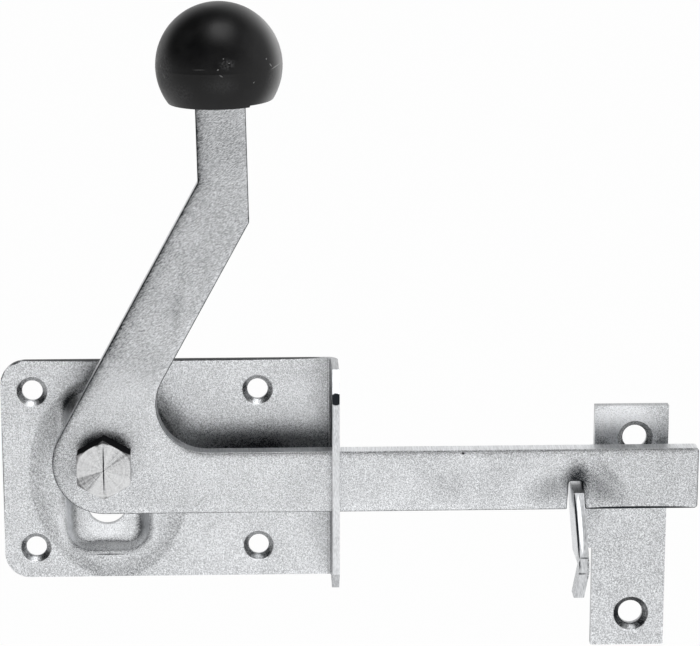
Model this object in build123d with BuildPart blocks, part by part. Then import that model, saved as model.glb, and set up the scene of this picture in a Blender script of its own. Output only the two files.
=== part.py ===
# Gate bolt with a pivoting lever arm and a keeper.
# X runs along the closed arm, Z points up, and -Y points at the person using the bolt.
# The origin is the centre of the four screw holes, on the back face of the base plate.
# Lengths are in millimetres, and depths are measured forwards from the back of the base plate.

import os
from math import atan2, cos, radians, sin, tan

from build123d import *

# Base plate: sheet folded into a guide flange at its right-hand edge
sheet_t = 2.5
hole_pitch_x = 77.0
hole_pitch_z = 56.0
plate_margin = 10.75
flange_offset = 27.5
plate_corner_r = 8.5
bend_inner_r = 1.0
flange_depth = 24.0
flange_chamfer = 7.0
plate_screw_d = 7.0
plate_screw_head_d = 10.4

# Pressed boss that holds the pivot off the plate
boss_rise = 8.0
boss_side_run = 4.0
boss_end_run = 7.7
boss_edge_r = 2.5
boss_root_r = 2.0
boss_corner_r = 4.5
slot_travel = 21.2

# Pivot bolt, its washer and its lock nut
pivot_x = -13.4
pivot_z = 6.8
pivot_d = 12.0
hex_across_flats = 18.0
bolt_head_t = 7.5
bolt_end_run = 0.5
nut_t = 6.0
washer_d = 24.0
washer_t = 2.5

# Lever: pivot end, bolt arm and cranked handle in one bar
bar_t = 6.0
arm_width = 21.4
arm_reach = 202.0
pivot_end_r = 17.8
arm_tip_r = 1.2
crank_angle = 61.3
crank_height = 96.6
crank_fillet_r = 17.0
grip_width = 16.7
grip_lean = 1.25
grip_in_knob = 20.0
lift_angle = 12.0

# Knob: ball with a flat underside
knob_d = 42.0
knob_flat = 12.0
knob_height = 135.4
knob_rim_r = 0.8

# Keeper: strip with an ear bent forwards into a lug
keeper_t = 3.5
keeper_width = 25.5
keeper_height = 87.0
keeper_above_arm = 10.8
keeper_hole_pitch = 64.0
keeper_hole_margin = 11.5
keeper_screw_d = 8.4
keeper_screw_head_d = 12.2
keeper_bend_r = 1.5
lug_from_tip = 43.6
lug_depth = 27.0
lug_height = 27.4
lug_lean = 5.5
ear_reach = 9.7
finger_length = 10.0
finger_depth = 7.0
finger_lean = 10.5

# Notch in the arm, over the lug
notch_depth = 10.0
notch_left_lean = 3.1
notch_right_lean = 9.6
notch_corner_r = 0.8

# Clearances
pivot_running_gap = 0.05
slot_gap = 0.65
nut_guide_gap = 0.3
axial_play = 0.1
window_side_gap = 0.75
window_floor_gap = 0.1
window_top_gap = 0.3
window_corner_r = 1.0
lug_top_gap = 1.6
lug_left_gap = 0.8
lug_right_gap = 0.3

# Shapes that several pieces share
countersink_angle = 90.0
head_chamfer_angle = 30.0
hex_sides = 6
hex_corner_up = 30.0
cut_margin = 1.0
same_place = 0.01

# Depths of the stacked faces
boss_front = sheet_t + boss_rise
washer_front = boss_front + washer_t
bar_back = washer_front + axial_play / 2
bar_front = bar_back + bar_t
bar_mid_depth = (bar_back + bar_front) / 2
head_back = bar_front + axial_play / 2
boss_under = boss_front - sheet_t
nut_back = boss_under - nut_t
bolt_end = nut_back - bolt_end_run

# Places seen from the front
plate_left = -hole_pitch_x / 2 - plate_margin
flange_outer = hole_pitch_x / 2 + flange_offset
flange_inner = flange_outer - sheet_t
plate_half_z = hole_pitch_z / 2 + plate_margin
arm_bottom = pivot_z - pivot_end_r
arm_top = arm_bottom + arm_width
arm_end = pivot_x + arm_reach
lug_top = arm_bottom + notch_depth - lug_top_gap
lug_bottom = lug_top - lug_height
lug_left = arm_end - lug_from_tip
lug_right = lug_left + keeper_t
keeper_left = lug_left + ear_reach
keeper_hole_x = keeper_left + keeper_width - keeper_hole_margin
keeper_mid_z = arm_top + keeper_above_arm - keeper_height / 2


def front_plane(depth, x=0.0, z=0.0):
    """Plane facing the user at a depth, with its origin at x and z."""
    return Plane(origin=(x, -depth, z), x_dir=(1, 0, 0), z_dir=(0, -1, 0))


def polar(point, angle, length):
    """Point at a length from another, along an angle in degrees above +X."""
    return (point[0] + length * cos(radians(angle)), point[1] + length * sin(radians(angle)))


def crossing(point_a, angle_a, point_b, angle_b):
    """Point where two lines meet, each given by a point and an angle in degrees."""
    ax, az = cos(radians(angle_a)), sin(radians(angle_a))
    bx, bz = cos(radians(angle_b)), sin(radians(angle_b))
    dx, dz = point_b[0] - point_a[0], point_b[1] - point_a[1]
    along = (dx * bz - dz * bx) / (ax * bz - az * bx)
    return (point_a[0] + ax * along, point_a[1] + az * along)


def corner_at(sketch, x, y):
    """Corner of a sketch nearest to a point in the sketch's own coordinates."""
    return min(sketch.vertices(), key=lambda corner: (corner.X - x) ** 2 + (corner.Y - y) ** 2)


# Boss profile: the hollow takes the nut over the whole slot, and the outside is a wall away
side_slope = atan2(boss_rise, boss_side_run)
end_slope = atan2(boss_rise, boss_end_run)
nut_across_corners = hex_across_flats / cos(radians(180 / hex_sides))
hollow_x = hex_across_flats + 2 * nut_guide_gap
hollow_z = slot_travel + nut_across_corners + 2 * nut_guide_gap
boss_x = hollow_x + 2 * sheet_t * tan(side_slope / 2)
boss_z = hollow_z + 2 * sheet_t * tan(end_slope / 2)
hollow_corner_r = boss_corner_r - sheet_t
root_x = boss_x + 2 * boss_side_run
root_z = boss_z + 2 * boss_end_run
boss_sections = (
    (sheet_t, root_x, root_z, boss_corner_r + boss_side_run),
    (boss_front, boss_x, boss_z, boss_corner_r),
)
hollow_sections = (
    (0, hollow_x + 2 * boss_side_run, hollow_z + 2 * boss_end_run, hollow_corner_r + boss_side_run),
    (boss_under, hollow_x, hollow_z, hollow_corner_r),
)


def is_boss_root(edge):
    """Whether an edge lies on the front of the sheet, at the foot of the boss."""
    middle = edge.center()
    on_sheet = abs(middle.Y + sheet_t) < same_place
    across = abs(middle.X - pivot_x) < root_x / 2 + same_place
    return on_sheet and across and abs(middle.Z) < root_z / 2 + same_place


# Window in the flange: from just under the arm to where the lifted arm stops
lift = radians(lift_angle)
window_floor = arm_bottom - window_floor_gap
lifted_top = pivot_z + (flange_outer - pivot_x) * tan(lift) + (arm_top - pivot_z) / cos(lift)
window_height = lifted_top + window_top_gap - window_floor
window_depth = bar_t + 2 * window_side_gap


with BuildPart() as base_plate:
    with BuildSketch(Plane.XY.offset(-plate_half_z)) as folded_section:
        with BuildLine():
            Polyline(
                (plate_left, 0),
                (flange_outer, 0),
                (flange_outer, -flange_depth),
                (flange_inner, -flange_depth),
                (flange_inner, -sheet_t),
                (plate_left, -sheet_t),
                close=True,
            )
        make_face()
        fillet(corner_at(folded_section, flange_outer, 0), radius=bend_inner_r + sheet_t)
        fillet(corner_at(folded_section, flange_inner, -sheet_t), radius=bend_inner_r)
    extrude(amount=2 * plate_half_z)
    fillet(base_plate.edges().filter_by(Axis.Y).group_by(Axis.X)[0], radius=plate_corner_r)
    chamfer(base_plate.edges().filter_by(Axis.X).group_by(Axis.Y)[0], length=flange_chamfer)

    # Boss, rounded at its edge and where it rises from the sheet
    for depth, width, height, corner_r in boss_sections:
        with BuildSketch(front_plane(depth, pivot_x)):
            RectangleRounded(width, height, corner_r)
    loft()
    boss_face = base_plate.faces().sort_by_distance((pivot_x, -boss_front, 0))[0]
    fillet(boss_face.outer_wire().edges(), radius=boss_edge_r)
    fillet(base_plate.edges().filter_by(is_boss_root), radius=boss_root_r)

    # Hollow behind the boss
    for depth, width, height, corner_r in hollow_sections:
        with BuildSketch(front_plane(depth, pivot_x)):
            RectangleRounded(width, height, corner_r)
    loft(mode=Mode.SUBTRACT)

    # Slot for the pivot bolt
    with BuildSketch(front_plane(boss_under - cut_margin, pivot_x)):
        SlotCenterToCenter(slot_travel, pivot_d + 2 * slot_gap, rotation=90)
    extrude(amount=sheet_t + 2 * cut_margin, mode=Mode.SUBTRACT)

    # Countersunk screw holes
    with Locations(front_plane(sheet_t)):
        with GridLocations(hole_pitch_x, hole_pitch_z, 2, 2):
            CounterSinkHole(plate_screw_d / 2, plate_screw_head_d / 2, counter_sink_angle=countersink_angle)

    # Window for the arm
    window_plane = Plane.YZ.offset(flange_inner - cut_margin)
    with BuildSketch(window_plane):
        with Locations((-bar_mid_depth, window_floor + window_height / 2)):
            RectangleRounded(window_depth, window_height, window_corner_r)
    extrude(amount=sheet_t + 2 * cut_margin, mode=Mode.SUBTRACT)
base_plate.part.label = "base_plate"

# Lever outline, from the pivot end round the crank and back along the arm
crank_left = polar((pivot_x, pivot_z), crank_angle + 90, pivot_end_r)
crank_right = polar(crank_left, crank_angle - 90, arm_width)
grip_angle = 90 + grip_lean
shoulder_left = crossing(crank_left, crank_angle, (pivot_x, pivot_z + crank_height), 0)
grip_right = polar(shoulder_left, grip_angle - 90, grip_width)
shoulder_right = crossing(crank_right, crank_angle, grip_right, grip_angle)
grip_middle = polar(shoulder_left, grip_angle - 90, grip_width / 2)
knob_centre = crossing(grip_middle, grip_angle, (0, pivot_z + knob_height), 0)
grip_top = polar(knob_centre, grip_angle, grip_in_knob - knob_flat)
top_left = polar(grip_top, grip_angle + 90, grip_width / 2)
top_right = polar(grip_top, grip_angle - 90, grip_width / 2)
crank_root = crossing(crank_right, crank_angle, (0, arm_top), 0)

# Notch outline: its sides lean away from the lug, and it runs out through the arm's lower edge
notch_top = arm_bottom + notch_depth
notch_mouth = arm_bottom - cut_margin
notch_left = (lug_left - lug_left_gap, lug_top)
notch_right = (lug_right + lug_right_gap, lug_top)
notch_corners = [
    crossing(notch_left, 90 - notch_left_lean, (0, notch_mouth), 0),
    crossing(notch_left, 90 - notch_left_lean, (0, notch_top), 0),
    crossing(notch_right, 90 + notch_right_lean, (0, notch_top), 0),
    crossing(notch_right, 90 + notch_right_lean, (0, notch_mouth), 0),
]

with BuildPart() as lever:
    with BuildSketch(front_plane(bar_back)) as bar_outline:
        with BuildLine():
            Polyline(
                crank_left,
                shoulder_left,
                top_left,
                top_right,
                shoulder_right,
                crank_root,
                (arm_end, arm_top),
                (arm_end, arm_bottom),
                (pivot_x, arm_bottom),
            )
            ThreePointArc(
                (pivot_x, arm_bottom),
                polar((pivot_x, pivot_z), 180 + (crank_angle - 90) / 2, pivot_end_r),
                crank_left,
            )
        make_face()
        fillet(corner_at(bar_outline, *crank_root), radius=crank_fillet_r)
        fillet(corner_at(bar_outline, arm_end, arm_top), radius=arm_tip_r)
        fillet(corner_at(bar_outline, arm_end, arm_bottom), radius=arm_tip_r)
        with Locations((pivot_x, pivot_z)):
            Circle(pivot_d / 2 + pivot_running_gap, mode=Mode.SUBTRACT)
    extrude(amount=bar_t)
    with BuildSketch(front_plane(bar_back - cut_margin)) as notch_outline:
        with BuildLine():
            Polyline(*notch_corners, close=True)
        make_face()
        fillet(corner_at(notch_outline, *notch_corners[1]), radius=notch_corner_r)
        fillet(corner_at(notch_outline, *notch_corners[2]), radius=notch_corner_r)
    extrude(amount=bar_t + 2 * cut_margin, mode=Mode.SUBTRACT)
lever.part.label = "lever"

# Knob: its axis follows the grip, and its socket takes the end of the bar
knob_plane = Plane(
    origin=(knob_centre[0], -bar_mid_depth, knob_centre[1]),
    x_dir=(0, -1, 0),
    z_dir=(cos(radians(grip_angle)), 0, sin(radians(grip_angle))),
)
with BuildPart() as knob:
    with Locations(knob_plane):
        Sphere(knob_d / 2)
    split(bisect_by=knob_plane.offset(-knob_flat), keep=Keep.TOP)
    fillet(knob.edges().filter_by(GeomType.CIRCLE).sort_by(Axis.Z)[0], radius=knob_rim_r)
    with BuildSketch(knob_plane.offset(-knob_flat)):
        Rectangle(bar_t, grip_width)
    extrude(amount=grip_in_knob, mode=Mode.SUBTRACT)
knob.part.label = "knob"

# Pivot bolt: hexagonal head with one corner up, on a plain shank
head_front = head_back + bolt_head_t
head_cone_r = hex_across_flats / 2
head_cone_back = head_cone_r + bolt_head_t / tan(radians(head_chamfer_angle))
with BuildPart() as pivot_bolt:
    with BuildSketch(front_plane(head_back, pivot_x, pivot_z)):
        RegularPolygon(hex_across_flats / 2, hex_sides, major_radius=False, rotation=hex_corner_up)
    extrude(amount=bolt_head_t)
    with BuildSketch(front_plane(head_back, pivot_x, pivot_z)):
        Circle(head_cone_back)
    with BuildSketch(front_plane(head_front, pivot_x, pivot_z)):
        Circle(head_cone_r)
    loft(mode=Mode.INTERSECT)
    with BuildSketch(front_plane(bolt_end, pivot_x, pivot_z)):
        Circle(pivot_d / 2)
    extrude(amount=head_back - bolt_end)
pivot_bolt.part.label = "pivot_bolt"

with BuildPart() as pivot_washer:
    with BuildSketch(front_plane(boss_front, pivot_x, pivot_z)):
        Circle(washer_d / 2)
        Circle(pivot_d / 2 + pivot_running_gap, mode=Mode.SUBTRACT)
    extrude(amount=washer_t)
pivot_washer.part.label = "pivot_washer"

with BuildPart() as lock_nut:
    with BuildSketch(front_plane(nut_back, pivot_x, pivot_z)):
        RegularPolygon(hex_across_flats / 2, hex_sides, major_radius=False, rotation=hex_corner_up)
        Circle(pivot_d / 2 + pivot_running_gap, mode=Mode.SUBTRACT)
    extrude(amount=nut_t)
lock_nut.part.label = "lock_nut"

# Keeper: the ear and lug are one bent tab, and the finger hangs from the front of the lug
lug_slant = 270 + lug_lean
lug_foot_left = crossing((lug_left, lug_top), lug_slant, (0, lug_bottom), 0)
lug_mid_left = (lug_left + lug_foot_left[0]) / 2
lug_mid_z = (lug_top + lug_bottom) / 2
lug_foot_right = (lug_foot_left[0] + keeper_t, lug_bottom)
finger_slant = 270 - finger_lean
finger_tip_left = crossing(lug_foot_left, finger_slant, (0, lug_bottom - finger_length), 0)
finger_tip_right = (finger_tip_left[0] + keeper_t, finger_tip_left[1])

with BuildPart() as keeper:
    with BuildSketch(front_plane(0, keeper_left + keeper_width / 2, keeper_mid_z)):
        Rectangle(keeper_width, keeper_height)
    extrude(amount=keeper_t)
    with BuildSketch(front_plane(0)):
        with BuildLine():
            Polyline(
                (lug_left, lug_top),
                (keeper_left, lug_top),
                (keeper_left, lug_bottom),
                lug_foot_left,
                close=True,
            )
        make_face()
    extrude(amount=keeper_t)
    with BuildSketch(front_plane(0)):
        with BuildLine():
            Polyline((lug_left, lug_top), (lug_right, lug_top), lug_foot_right, lug_foot_left, close=True)
        make_face()
    extrude(amount=lug_depth)
    outer_bend = keeper.edges().sort_by_distance((lug_mid_left, 0, lug_mid_z))[0]
    fillet(outer_bend, radius=keeper_bend_r + keeper_t)
    inner_bend = keeper.edges().sort_by_distance((lug_mid_left + keeper_t, -keeper_t, lug_mid_z))[0]
    fillet(inner_bend, radius=keeper_bend_r)
    with BuildSketch(front_plane(lug_depth - finger_depth)):
        with BuildLine():
            Polyline(lug_foot_left, lug_foot_right, finger_tip_right, finger_tip_left, close=True)
        make_face()
    extrude(amount=finger_depth)
    with Locations(front_plane(keeper_t, keeper_hole_x, keeper_mid_z)):
        with GridLocations(0, keeper_hole_pitch, 1, 2):
            CounterSinkHole(keeper_screw_d / 2, keeper_screw_head_d / 2, counter_sink_angle=countersink_angle)
keeper.part.label = "keeper"

os.makedirs("parts", exist_ok=True)
for piece in (base_plate, lever, knob, pivot_bolt, pivot_washer, lock_nut, keeper):
    export_step(piece.part, f"parts/{piece.part.label}.step")
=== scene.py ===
"""Looks of the gate bolt: its detailed pieces, their finishes, soft studio light and the camera.

Sizes in the classes are in millimetres. X runs along the closed arm, Z points up, and a depth is
measured forwards from the back of the base plate, towards the person using the bolt.
"""

import logging
from collections.abc import Callable, Iterator, Sequence
from contextlib import contextmanager
from dataclasses import dataclass
from enum import Enum
from math import atan2, cos, degrees, pi, radians, sin, tan

import bmesh
import bpy
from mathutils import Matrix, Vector


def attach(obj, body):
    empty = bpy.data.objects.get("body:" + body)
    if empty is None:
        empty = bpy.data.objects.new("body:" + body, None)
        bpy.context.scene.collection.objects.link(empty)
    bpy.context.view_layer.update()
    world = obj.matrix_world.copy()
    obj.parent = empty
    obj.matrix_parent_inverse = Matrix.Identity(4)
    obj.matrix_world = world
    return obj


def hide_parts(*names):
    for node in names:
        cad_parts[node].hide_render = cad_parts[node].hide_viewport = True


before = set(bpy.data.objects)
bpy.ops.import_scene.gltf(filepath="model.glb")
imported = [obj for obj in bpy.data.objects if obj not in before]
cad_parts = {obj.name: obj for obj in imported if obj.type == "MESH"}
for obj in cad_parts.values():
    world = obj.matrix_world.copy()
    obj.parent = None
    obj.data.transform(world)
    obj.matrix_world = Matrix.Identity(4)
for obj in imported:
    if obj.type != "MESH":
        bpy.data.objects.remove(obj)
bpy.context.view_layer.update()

log = logging.getLogger("gate_bolt")

Pair = tuple[float, float]
Place = tuple[float, float, float]
Colour = tuple[float, float, float, float]
Piece = bpy.types.Object
Socket = bpy.types.NodeSocket
Edge = bmesh.types.BMEdge
Face = bmesh.types.BMFace
Test = Callable[[Face | Edge], bool]

MM = 0.001            # metres in a millimetre
SAME_PLACE = 0.02     # distance within which two places count as one
MERGE_WITHIN = 0.001  # distance within which points are merged
CUT_MARGIN = 1.0      # how far a cutter reaches past what it cuts
LEAST_RADIUS = 0.05   # smallest radius that a corner is drawn in to
WHITE = (1, 1, 1, 1)


class Drawing(Enum):
    """Plane that an outline is drawn in."""

    FRONT = "x and z, seen by the user"
    PLAN = "x and depth, seen along z"
    SIDE = "depth and z, seen along x"

    def place(self, u: float, v: float, level: float) -> Vector:
        """Point in metres of a drawn point.

        Args:
            u: First coordinate in the drawing, in millimetres.
            v: Second coordinate in the drawing.
            level: Coordinate across the drawing.

        Returns:
            The point in the object's frame.
        """
        if self is Drawing.FRONT:
            return Vector((u, -level, v)) * MM
        if self is Drawing.PLAN:
            return Vector((u, -v, level)) * MM
        return Vector((level, -u, v)) * MM

    def axis(self) -> Vector:
        """Axis that turns the first coordinate towards the second."""
        turning = {Drawing.FRONT: (0, -1, 0), Drawing.PLAN: (0, 0, -1), Drawing.SIDE: (-1, 0, 0)}
        return Vector(turning[self])


class Element(Enum):
    """Kind of mesh element that is chosen in edit mode."""

    FACE = "FACE"
    EDGE = "EDGE"


class Joining(Enum):
    """What a tool solid does to a piece."""

    ADD = "UNION"
    CUT = "DIFFERENCE"
    KEEP_SHARED = "INTERSECT"


@dataclass(frozen=True)
class Corner:
    """Corner of an outline, with the radius that rounds it and the segments in its arc."""

    u: float
    v: float
    radius: float = 0.0
    steps: int = 10


def polar(point: Pair, angle: float, length: float) -> Pair:
    """Point at a length from another, along an angle in degrees."""
    return (point[0] + length * cos(radians(angle)), point[1] + length * sin(radians(angle)))


def crossing(point_a: Pair, angle_a: float, point_b: Pair, angle_b: float) -> Pair:
    """Point where two lines meet.

    Args:
        point_a: Point on the first line.
        angle_a: Its angle in degrees.
        point_b: Point on the second line.
        angle_b: Its angle in degrees.

    Returns:
        The meeting point.
    """
    ax, az = cos(radians(angle_a)), sin(radians(angle_a))
    bx, bz = cos(radians(angle_b)), sin(radians(angle_b))
    dx, dz = point_b[0] - point_a[0], point_b[1] - point_a[1]
    along = (dx * bz - dz * bx) / (ax * bz - az * bx)
    return (point_a[0] + ax * along, point_a[1] + az * along)


def rounded_rectangle(
    width: float, height: float, radius: float, centre: Pair, steps: int = 8
) -> list[Corner]:
    """Corners of a rectangle with rounded corners.

    Args:
        width: Size along the first coordinate.
        height: Size along the second.
        radius: Corner radius.
        centre: Middle of the rectangle.
        steps: Segments in each corner.

    Returns:
        The four corners, in turn.
    """
    u, v = centre
    signs = ((-1, -1), (1, -1), (1, 1), (-1, 1))
    return [Corner(u + a * width / 2, v + b * height / 2, radius, steps) for a, b in signs]


def neighbours(corners: Sequence[Corner]) -> Iterator[tuple[Corner, Corner, Corner]]:
    """Each corner of a closed outline, between the one before it and the one after it."""
    return zip((corners[-1], *corners[:-1]), corners, (*corners[1:], corners[0]))


def drawn_in(corners: Sequence[Corner], distance: float) -> list[Corner]:
    """Outline moved inwards, with as many points.

    Args:
        corners: Corners of an outline that runs counter-clockwise.
        distance: How far every side moves.

    Returns:
        The smaller outline's corners.
    """
    smaller = []
    for before, corner, after in neighbours(corners):
        angle_in = degrees(atan2(corner.v - before.v, corner.u - before.u))
        angle_out = degrees(atan2(after.v - corner.v, after.u - corner.u))
        on_first = polar((corner.u, corner.v), angle_in + 90, distance)
        on_second = polar((corner.u, corner.v), angle_out + 90, distance)
        outward = sin(radians(angle_out - angle_in)) > 0
        radius = max(corner.radius - distance, LEAST_RADIUS) if outward else corner.radius + distance
        place = crossing(on_first, angle_in, on_second, angle_out)
        smaller.append(Corner(*place, radius if corner.radius else 0.0, corner.steps))
    return smaller


def level_with(value: float, target: float) -> bool:
    """Whether a coordinate in metres is at a place in millimetres."""
    return abs(value / MM - target) < SAME_PLACE


def at_levels(across: Vector, levels: Sequence[float]) -> Test:
    """Test for the faces or edges that lie at some levels.

    Args:
        across: Direction that the levels are measured in.
        levels: The levels, in millimetres.

    Returns:
        The test, which passes where every end is at one of the levels.
    """
    return lambda item: all(
        any(level_with(vert.co.dot(across), level) for level in levels) for vert in item.verts
    )


def at_depth(depth: float) -> Test:
    """Test for the faces or edges that lie at one depth."""
    return at_levels(Vector((0, -1, 0)), (depth,))


class Bench:
    """Shaping steps that every piece uses."""

    @staticmethod
    def pick(*pieces: Piece) -> None:
        """Selects only some pieces and makes the first one active.

        Args:
            pieces: The pieces.
        """
        bpy.ops.object.select_all(action="DESELECT")
        for piece in pieces:
            piece.select_set(True)
        bpy.context.view_layer.objects.active = pieces[0]

    @staticmethod
    @contextmanager
    def editing(piece: Piece) -> Iterator[None]:
        """Edit mode on one piece, with nothing selected at its start.

        Args:
            piece: The piece to edit.
        """
        Bench.pick(piece)
        bpy.ops.object.mode_set(mode="EDIT")
        bpy.ops.mesh.select_all(action="DESELECT")
        yield
        bpy.ops.object.mode_set(mode="OBJECT")

    @staticmethod
    def choose(piece: Piece, kind: Element, test: Test) -> None:
        """Selects the faces or edges that pass a test, and nothing else.

        Args:
            piece: The piece in edit mode.
            kind: Whether faces or edges are chosen.
            test: Says whether an element is chosen.
        """
        bpy.ops.mesh.select_all(action="DESELECT")
        bpy.ops.mesh.select_mode(type=kind.value)
        mesh = bmesh.from_edit_mesh(piece.data)
        for item in mesh.faces if kind is Element.FACE else mesh.edges:
            if test(item):
                item.select = True
        mesh.select_flush_mode()
        bmesh.update_edit_mesh(piece.data)

    @staticmethod
    def choose_all() -> None:
        """Selects the whole mesh in edit mode."""
        bpy.ops.mesh.select_all(action="SELECT")

    @staticmethod
    def extrude(shift: Sequence[float]) -> None:
        """Extrudes what is chosen, by a shift in metres."""
        bpy.ops.mesh.extrude_region_move(TRANSFORM_OT_translate={"value": shift})

    @staticmethod
    def bevel(width: float, segments: int, clamp: bool = False) -> None:
        """Bevels the chosen edges, by a width in millimetres."""
        bpy.ops.mesh.bevel(offset=width * MM, segments=segments, affect="EDGES", clamp_overlap=clamp)

    @staticmethod
    def widen(growth: float, middle: Vector) -> None:
        """Scales what is chosen along x and z, about a point."""
        bpy.ops.transform.resize(value=(growth, 1, growth), center_override=middle)

    @staticmethod
    def face_outwards() -> None:
        """Turns every face of a closed mesh outwards."""
        Bench.choose_all()
        bpy.ops.mesh.normals_make_consistent(inside=False)

    @staticmethod
    def fresh(name: str) -> Piece:
        """The primitive that was just added, under its new name.

        Args:
            name: Name for the piece and its mesh.

        Returns:
            The piece.
        """
        piece = bpy.context.object
        piece.name = piece.data.name = name
        return piece

    @staticmethod
    def settle(piece: Piece) -> None:
        """Moves a piece's place into its mesh."""
        Bench.pick(piece)
        bpy.ops.object.transform_apply(location=True, rotation=True, scale=True)

    @staticmethod
    def apply(piece: Piece, kind: str, **settings: object) -> None:
        """Adds a modifier with its settings and applies it.

        Args:
            piece: The piece that gets it.
            kind: The modifier's type.
            settings: Values set on it.
        """
        Bench.pick(piece)
        modifier = piece.modifiers.new(kind.title(), kind)
        for name, value in settings.items():
            setattr(modifier, name, value)
        bpy.ops.object.modifier_apply(modifier=modifier.name)

    @staticmethod
    def trace(name: str, drawing: Drawing, corners: Sequence[Corner], level: float) -> Piece:
        """Draws a closed outline, a point and an arc at a time, and fills it.

        Args:
            name: Name of the new piece.
            drawing: Plane of the outline.
            corners: The outline's corners, in turn.
            level: Where the plane stands, across the drawing.

        Returns:
            The piece, as one flat face.
        """
        runs = [Bench._round(*three) for three in neighbours(corners)]
        start = drawing.place(*runs[0][0], level)
        bpy.ops.object.select_all(action="DESELECT")
        bpy.ops.mesh.primitive_plane_add(size=MM, location=start)
        piece = Bench.fresh(name)
        bpy.ops.object.mode_set(mode="EDIT")
        bpy.ops.mesh.select_mode(type="VERT")
        Bench.choose_all()
        bpy.ops.mesh.merge(type="CENTER")
        here = start
        for (begin, centre, sweep), corner in zip(runs, corners):
            there = drawing.place(*begin, level)
            if (there - here).length > 0:
                Bench.extrude(there - here)
            here = there
            if corner.radius:
                middle = drawing.place(*centre, level)
                bpy.ops.mesh.spin(
                    steps=corner.steps, dupli=False, angle=-sweep, center=middle, axis=drawing.axis()
                )
                turned = atan2(begin[1] - centre[1], begin[0] - centre[0]) + sweep
                here = drawing.place(*polar(centre, degrees(turned), corner.radius), level)
        Bench.choose_all()
        bpy.ops.mesh.remove_doubles(threshold=MERGE_WITHIN * MM)
        bpy.ops.mesh.edge_face_add()
        bpy.ops.object.mode_set(mode="OBJECT")
        Bench.settle(piece)
        return piece

    @staticmethod
    def _round(before: Corner, corner: Corner, after: Corner) -> tuple[Pair, Pair, float]:
        """Arc that rounds a corner.

        Args:
            before: The corner before it.
            corner: The corner.
            after: The corner after it.

        Returns:
            Where the arc begins, its centre, and how far it turns, in radians.
        """
        here = Vector((corner.u, corner.v))
        if not corner.radius:
            return (tuple(here), tuple(here), 0.0)
        back = (Vector((before.u, before.v)) - here).normalized()
        on = (Vector((after.u, after.v)) - here).normalized()
        half = back.angle(on) / 2
        begin = here + back * (corner.radius / tan(half))
        centre = here + (back + on).normalized() * (corner.radius / sin(half))
        turn = pi - 2 * half
        left = back.x * on.y - back.y * on.x < 0
        return (tuple(begin), tuple(centre), turn if left else -turn)

    @staticmethod
    def thicken(piece: Piece, shift: Sequence[float]) -> None:
        """Extrudes a flat face into a closed solid.

        Args:
            piece: The flat piece.
            shift: Extrusion in millimetres along X, Y and Z.
        """
        with Bench.editing(piece):
            Bench.choose_all()
            Bench.extrude(Vector(shift) * MM)
            Bench.face_outwards()

    @staticmethod
    def blank(
        name: str, drawing: Drawing, corners: Sequence[Corner], level: float, thickness: float
    ) -> Piece:
        """Flat blank of sheet or bar, cut to an outline.

        Args:
            name: Name of the new piece.
            drawing: Plane of the outline.
            corners: The outline's corners.
            level: Where the near side of the blank stands.
            thickness: How far it reaches from there.

        Returns:
            The closed solid.
        """
        piece = Bench.trace(name, drawing, corners, level)
        Bench.thicken(piece, drawing.place(0, 0, thickness) / MM)
        return piece

    @staticmethod
    def stack(name: str, drawing: Drawing, layers: Sequence[tuple[Sequence[Corner], float]]) -> Piece:
        """Solid through several outlines that have the same number of points.

        Args:
            name: Name of the new piece.
            drawing: Plane of the outlines.
            layers: Each outline with its level, from one end to the other.

        Returns:
            The closed solid.
        """
        sheets = [Bench.trace(name, drawing, corners, level) for corners, level in layers]
        Bench.pick(*sheets)
        bpy.ops.object.join()
        piece = sheets[0]
        levels = [level for _, level in layers]
        across = drawing.place(0, 0, 1) / MM
        with Bench.editing(piece):
            Bench.choose_all()
            bpy.ops.mesh.delete(type="ONLY_FACE")
            for pair in zip(levels, levels[1:]):
                Bench.choose(piece, Element.EDGE, at_levels(across, pair))
                bpy.ops.mesh.bridge_edge_loops()
            Bench.choose_all()
            bpy.ops.mesh.fill_holes(sides=0)
            Bench.face_outwards()
        return piece

    @staticmethod
    def combine(piece: Piece, tool: Piece, joining: Joining) -> None:
        """Joins a tool solid to a piece, or cuts it away, and removes the tool.

        Args:
            piece: The piece that stays.
            tool: The solid that is used up.
            joining: What the tool does to the piece.
        """
        Bench.apply(piece, "BOOLEAN", operation=joining.value, object=tool, solver="EXACT")
        mesh = tool.data
        bpy.data.objects.remove(tool)
        bpy.data.meshes.remove(mesh)
        with Bench.editing(piece):
            Bench.choose_all()
            bpy.ops.mesh.remove_doubles(threshold=MERGE_WITHIN * MM)

    @staticmethod
    def bar_stock(name: str, radius: float, ends: Pair, centre: Pair, sides: int) -> Piece:
        """Round or many-sided stock that stands out towards the user.

        Args:
            name: Name of the new piece.
            radius: Radius to its corners.
            ends: Depths of its back and front.
            centre: Its place along X and Z.
            sides: Number of sides.

        Returns:
            The closed solid.
        """
        bpy.ops.object.select_all(action="DESELECT")
        bpy.ops.mesh.primitive_cylinder_add(
            vertices=sides,
            radius=radius * MM,
            depth=(ends[1] - ends[0]) * MM,
            location=Drawing.FRONT.place(*centre, sum(ends) / 2),
            rotation=(radians(90), 0, 0),
        )
        piece = Bench.fresh(name)
        Bench.settle(piece)
        return piece

    @staticmethod
    def soften(piece: Piece, width: float, segments: int = 3, sharper_than: float = 32.0) -> None:
        """Rounds every sharp outward edge and sets smooth shading.

        Args:
            piece: The piece.
            width: Width of the rounding, in millimetres.
            segments: Segments in it.
            sharper_than: Least turn of an edge that is rounded, in degrees.
        """
        least = radians(sharper_than)
        with Bench.editing(piece):
            Bench.choose(
                piece, Element.EDGE, lambda edge: edge.is_convex and edge.calc_face_angle(0.0) > least
            )
            Bench.bevel(width, segments, clamp=True)
        Bench.polish(piece)

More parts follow.
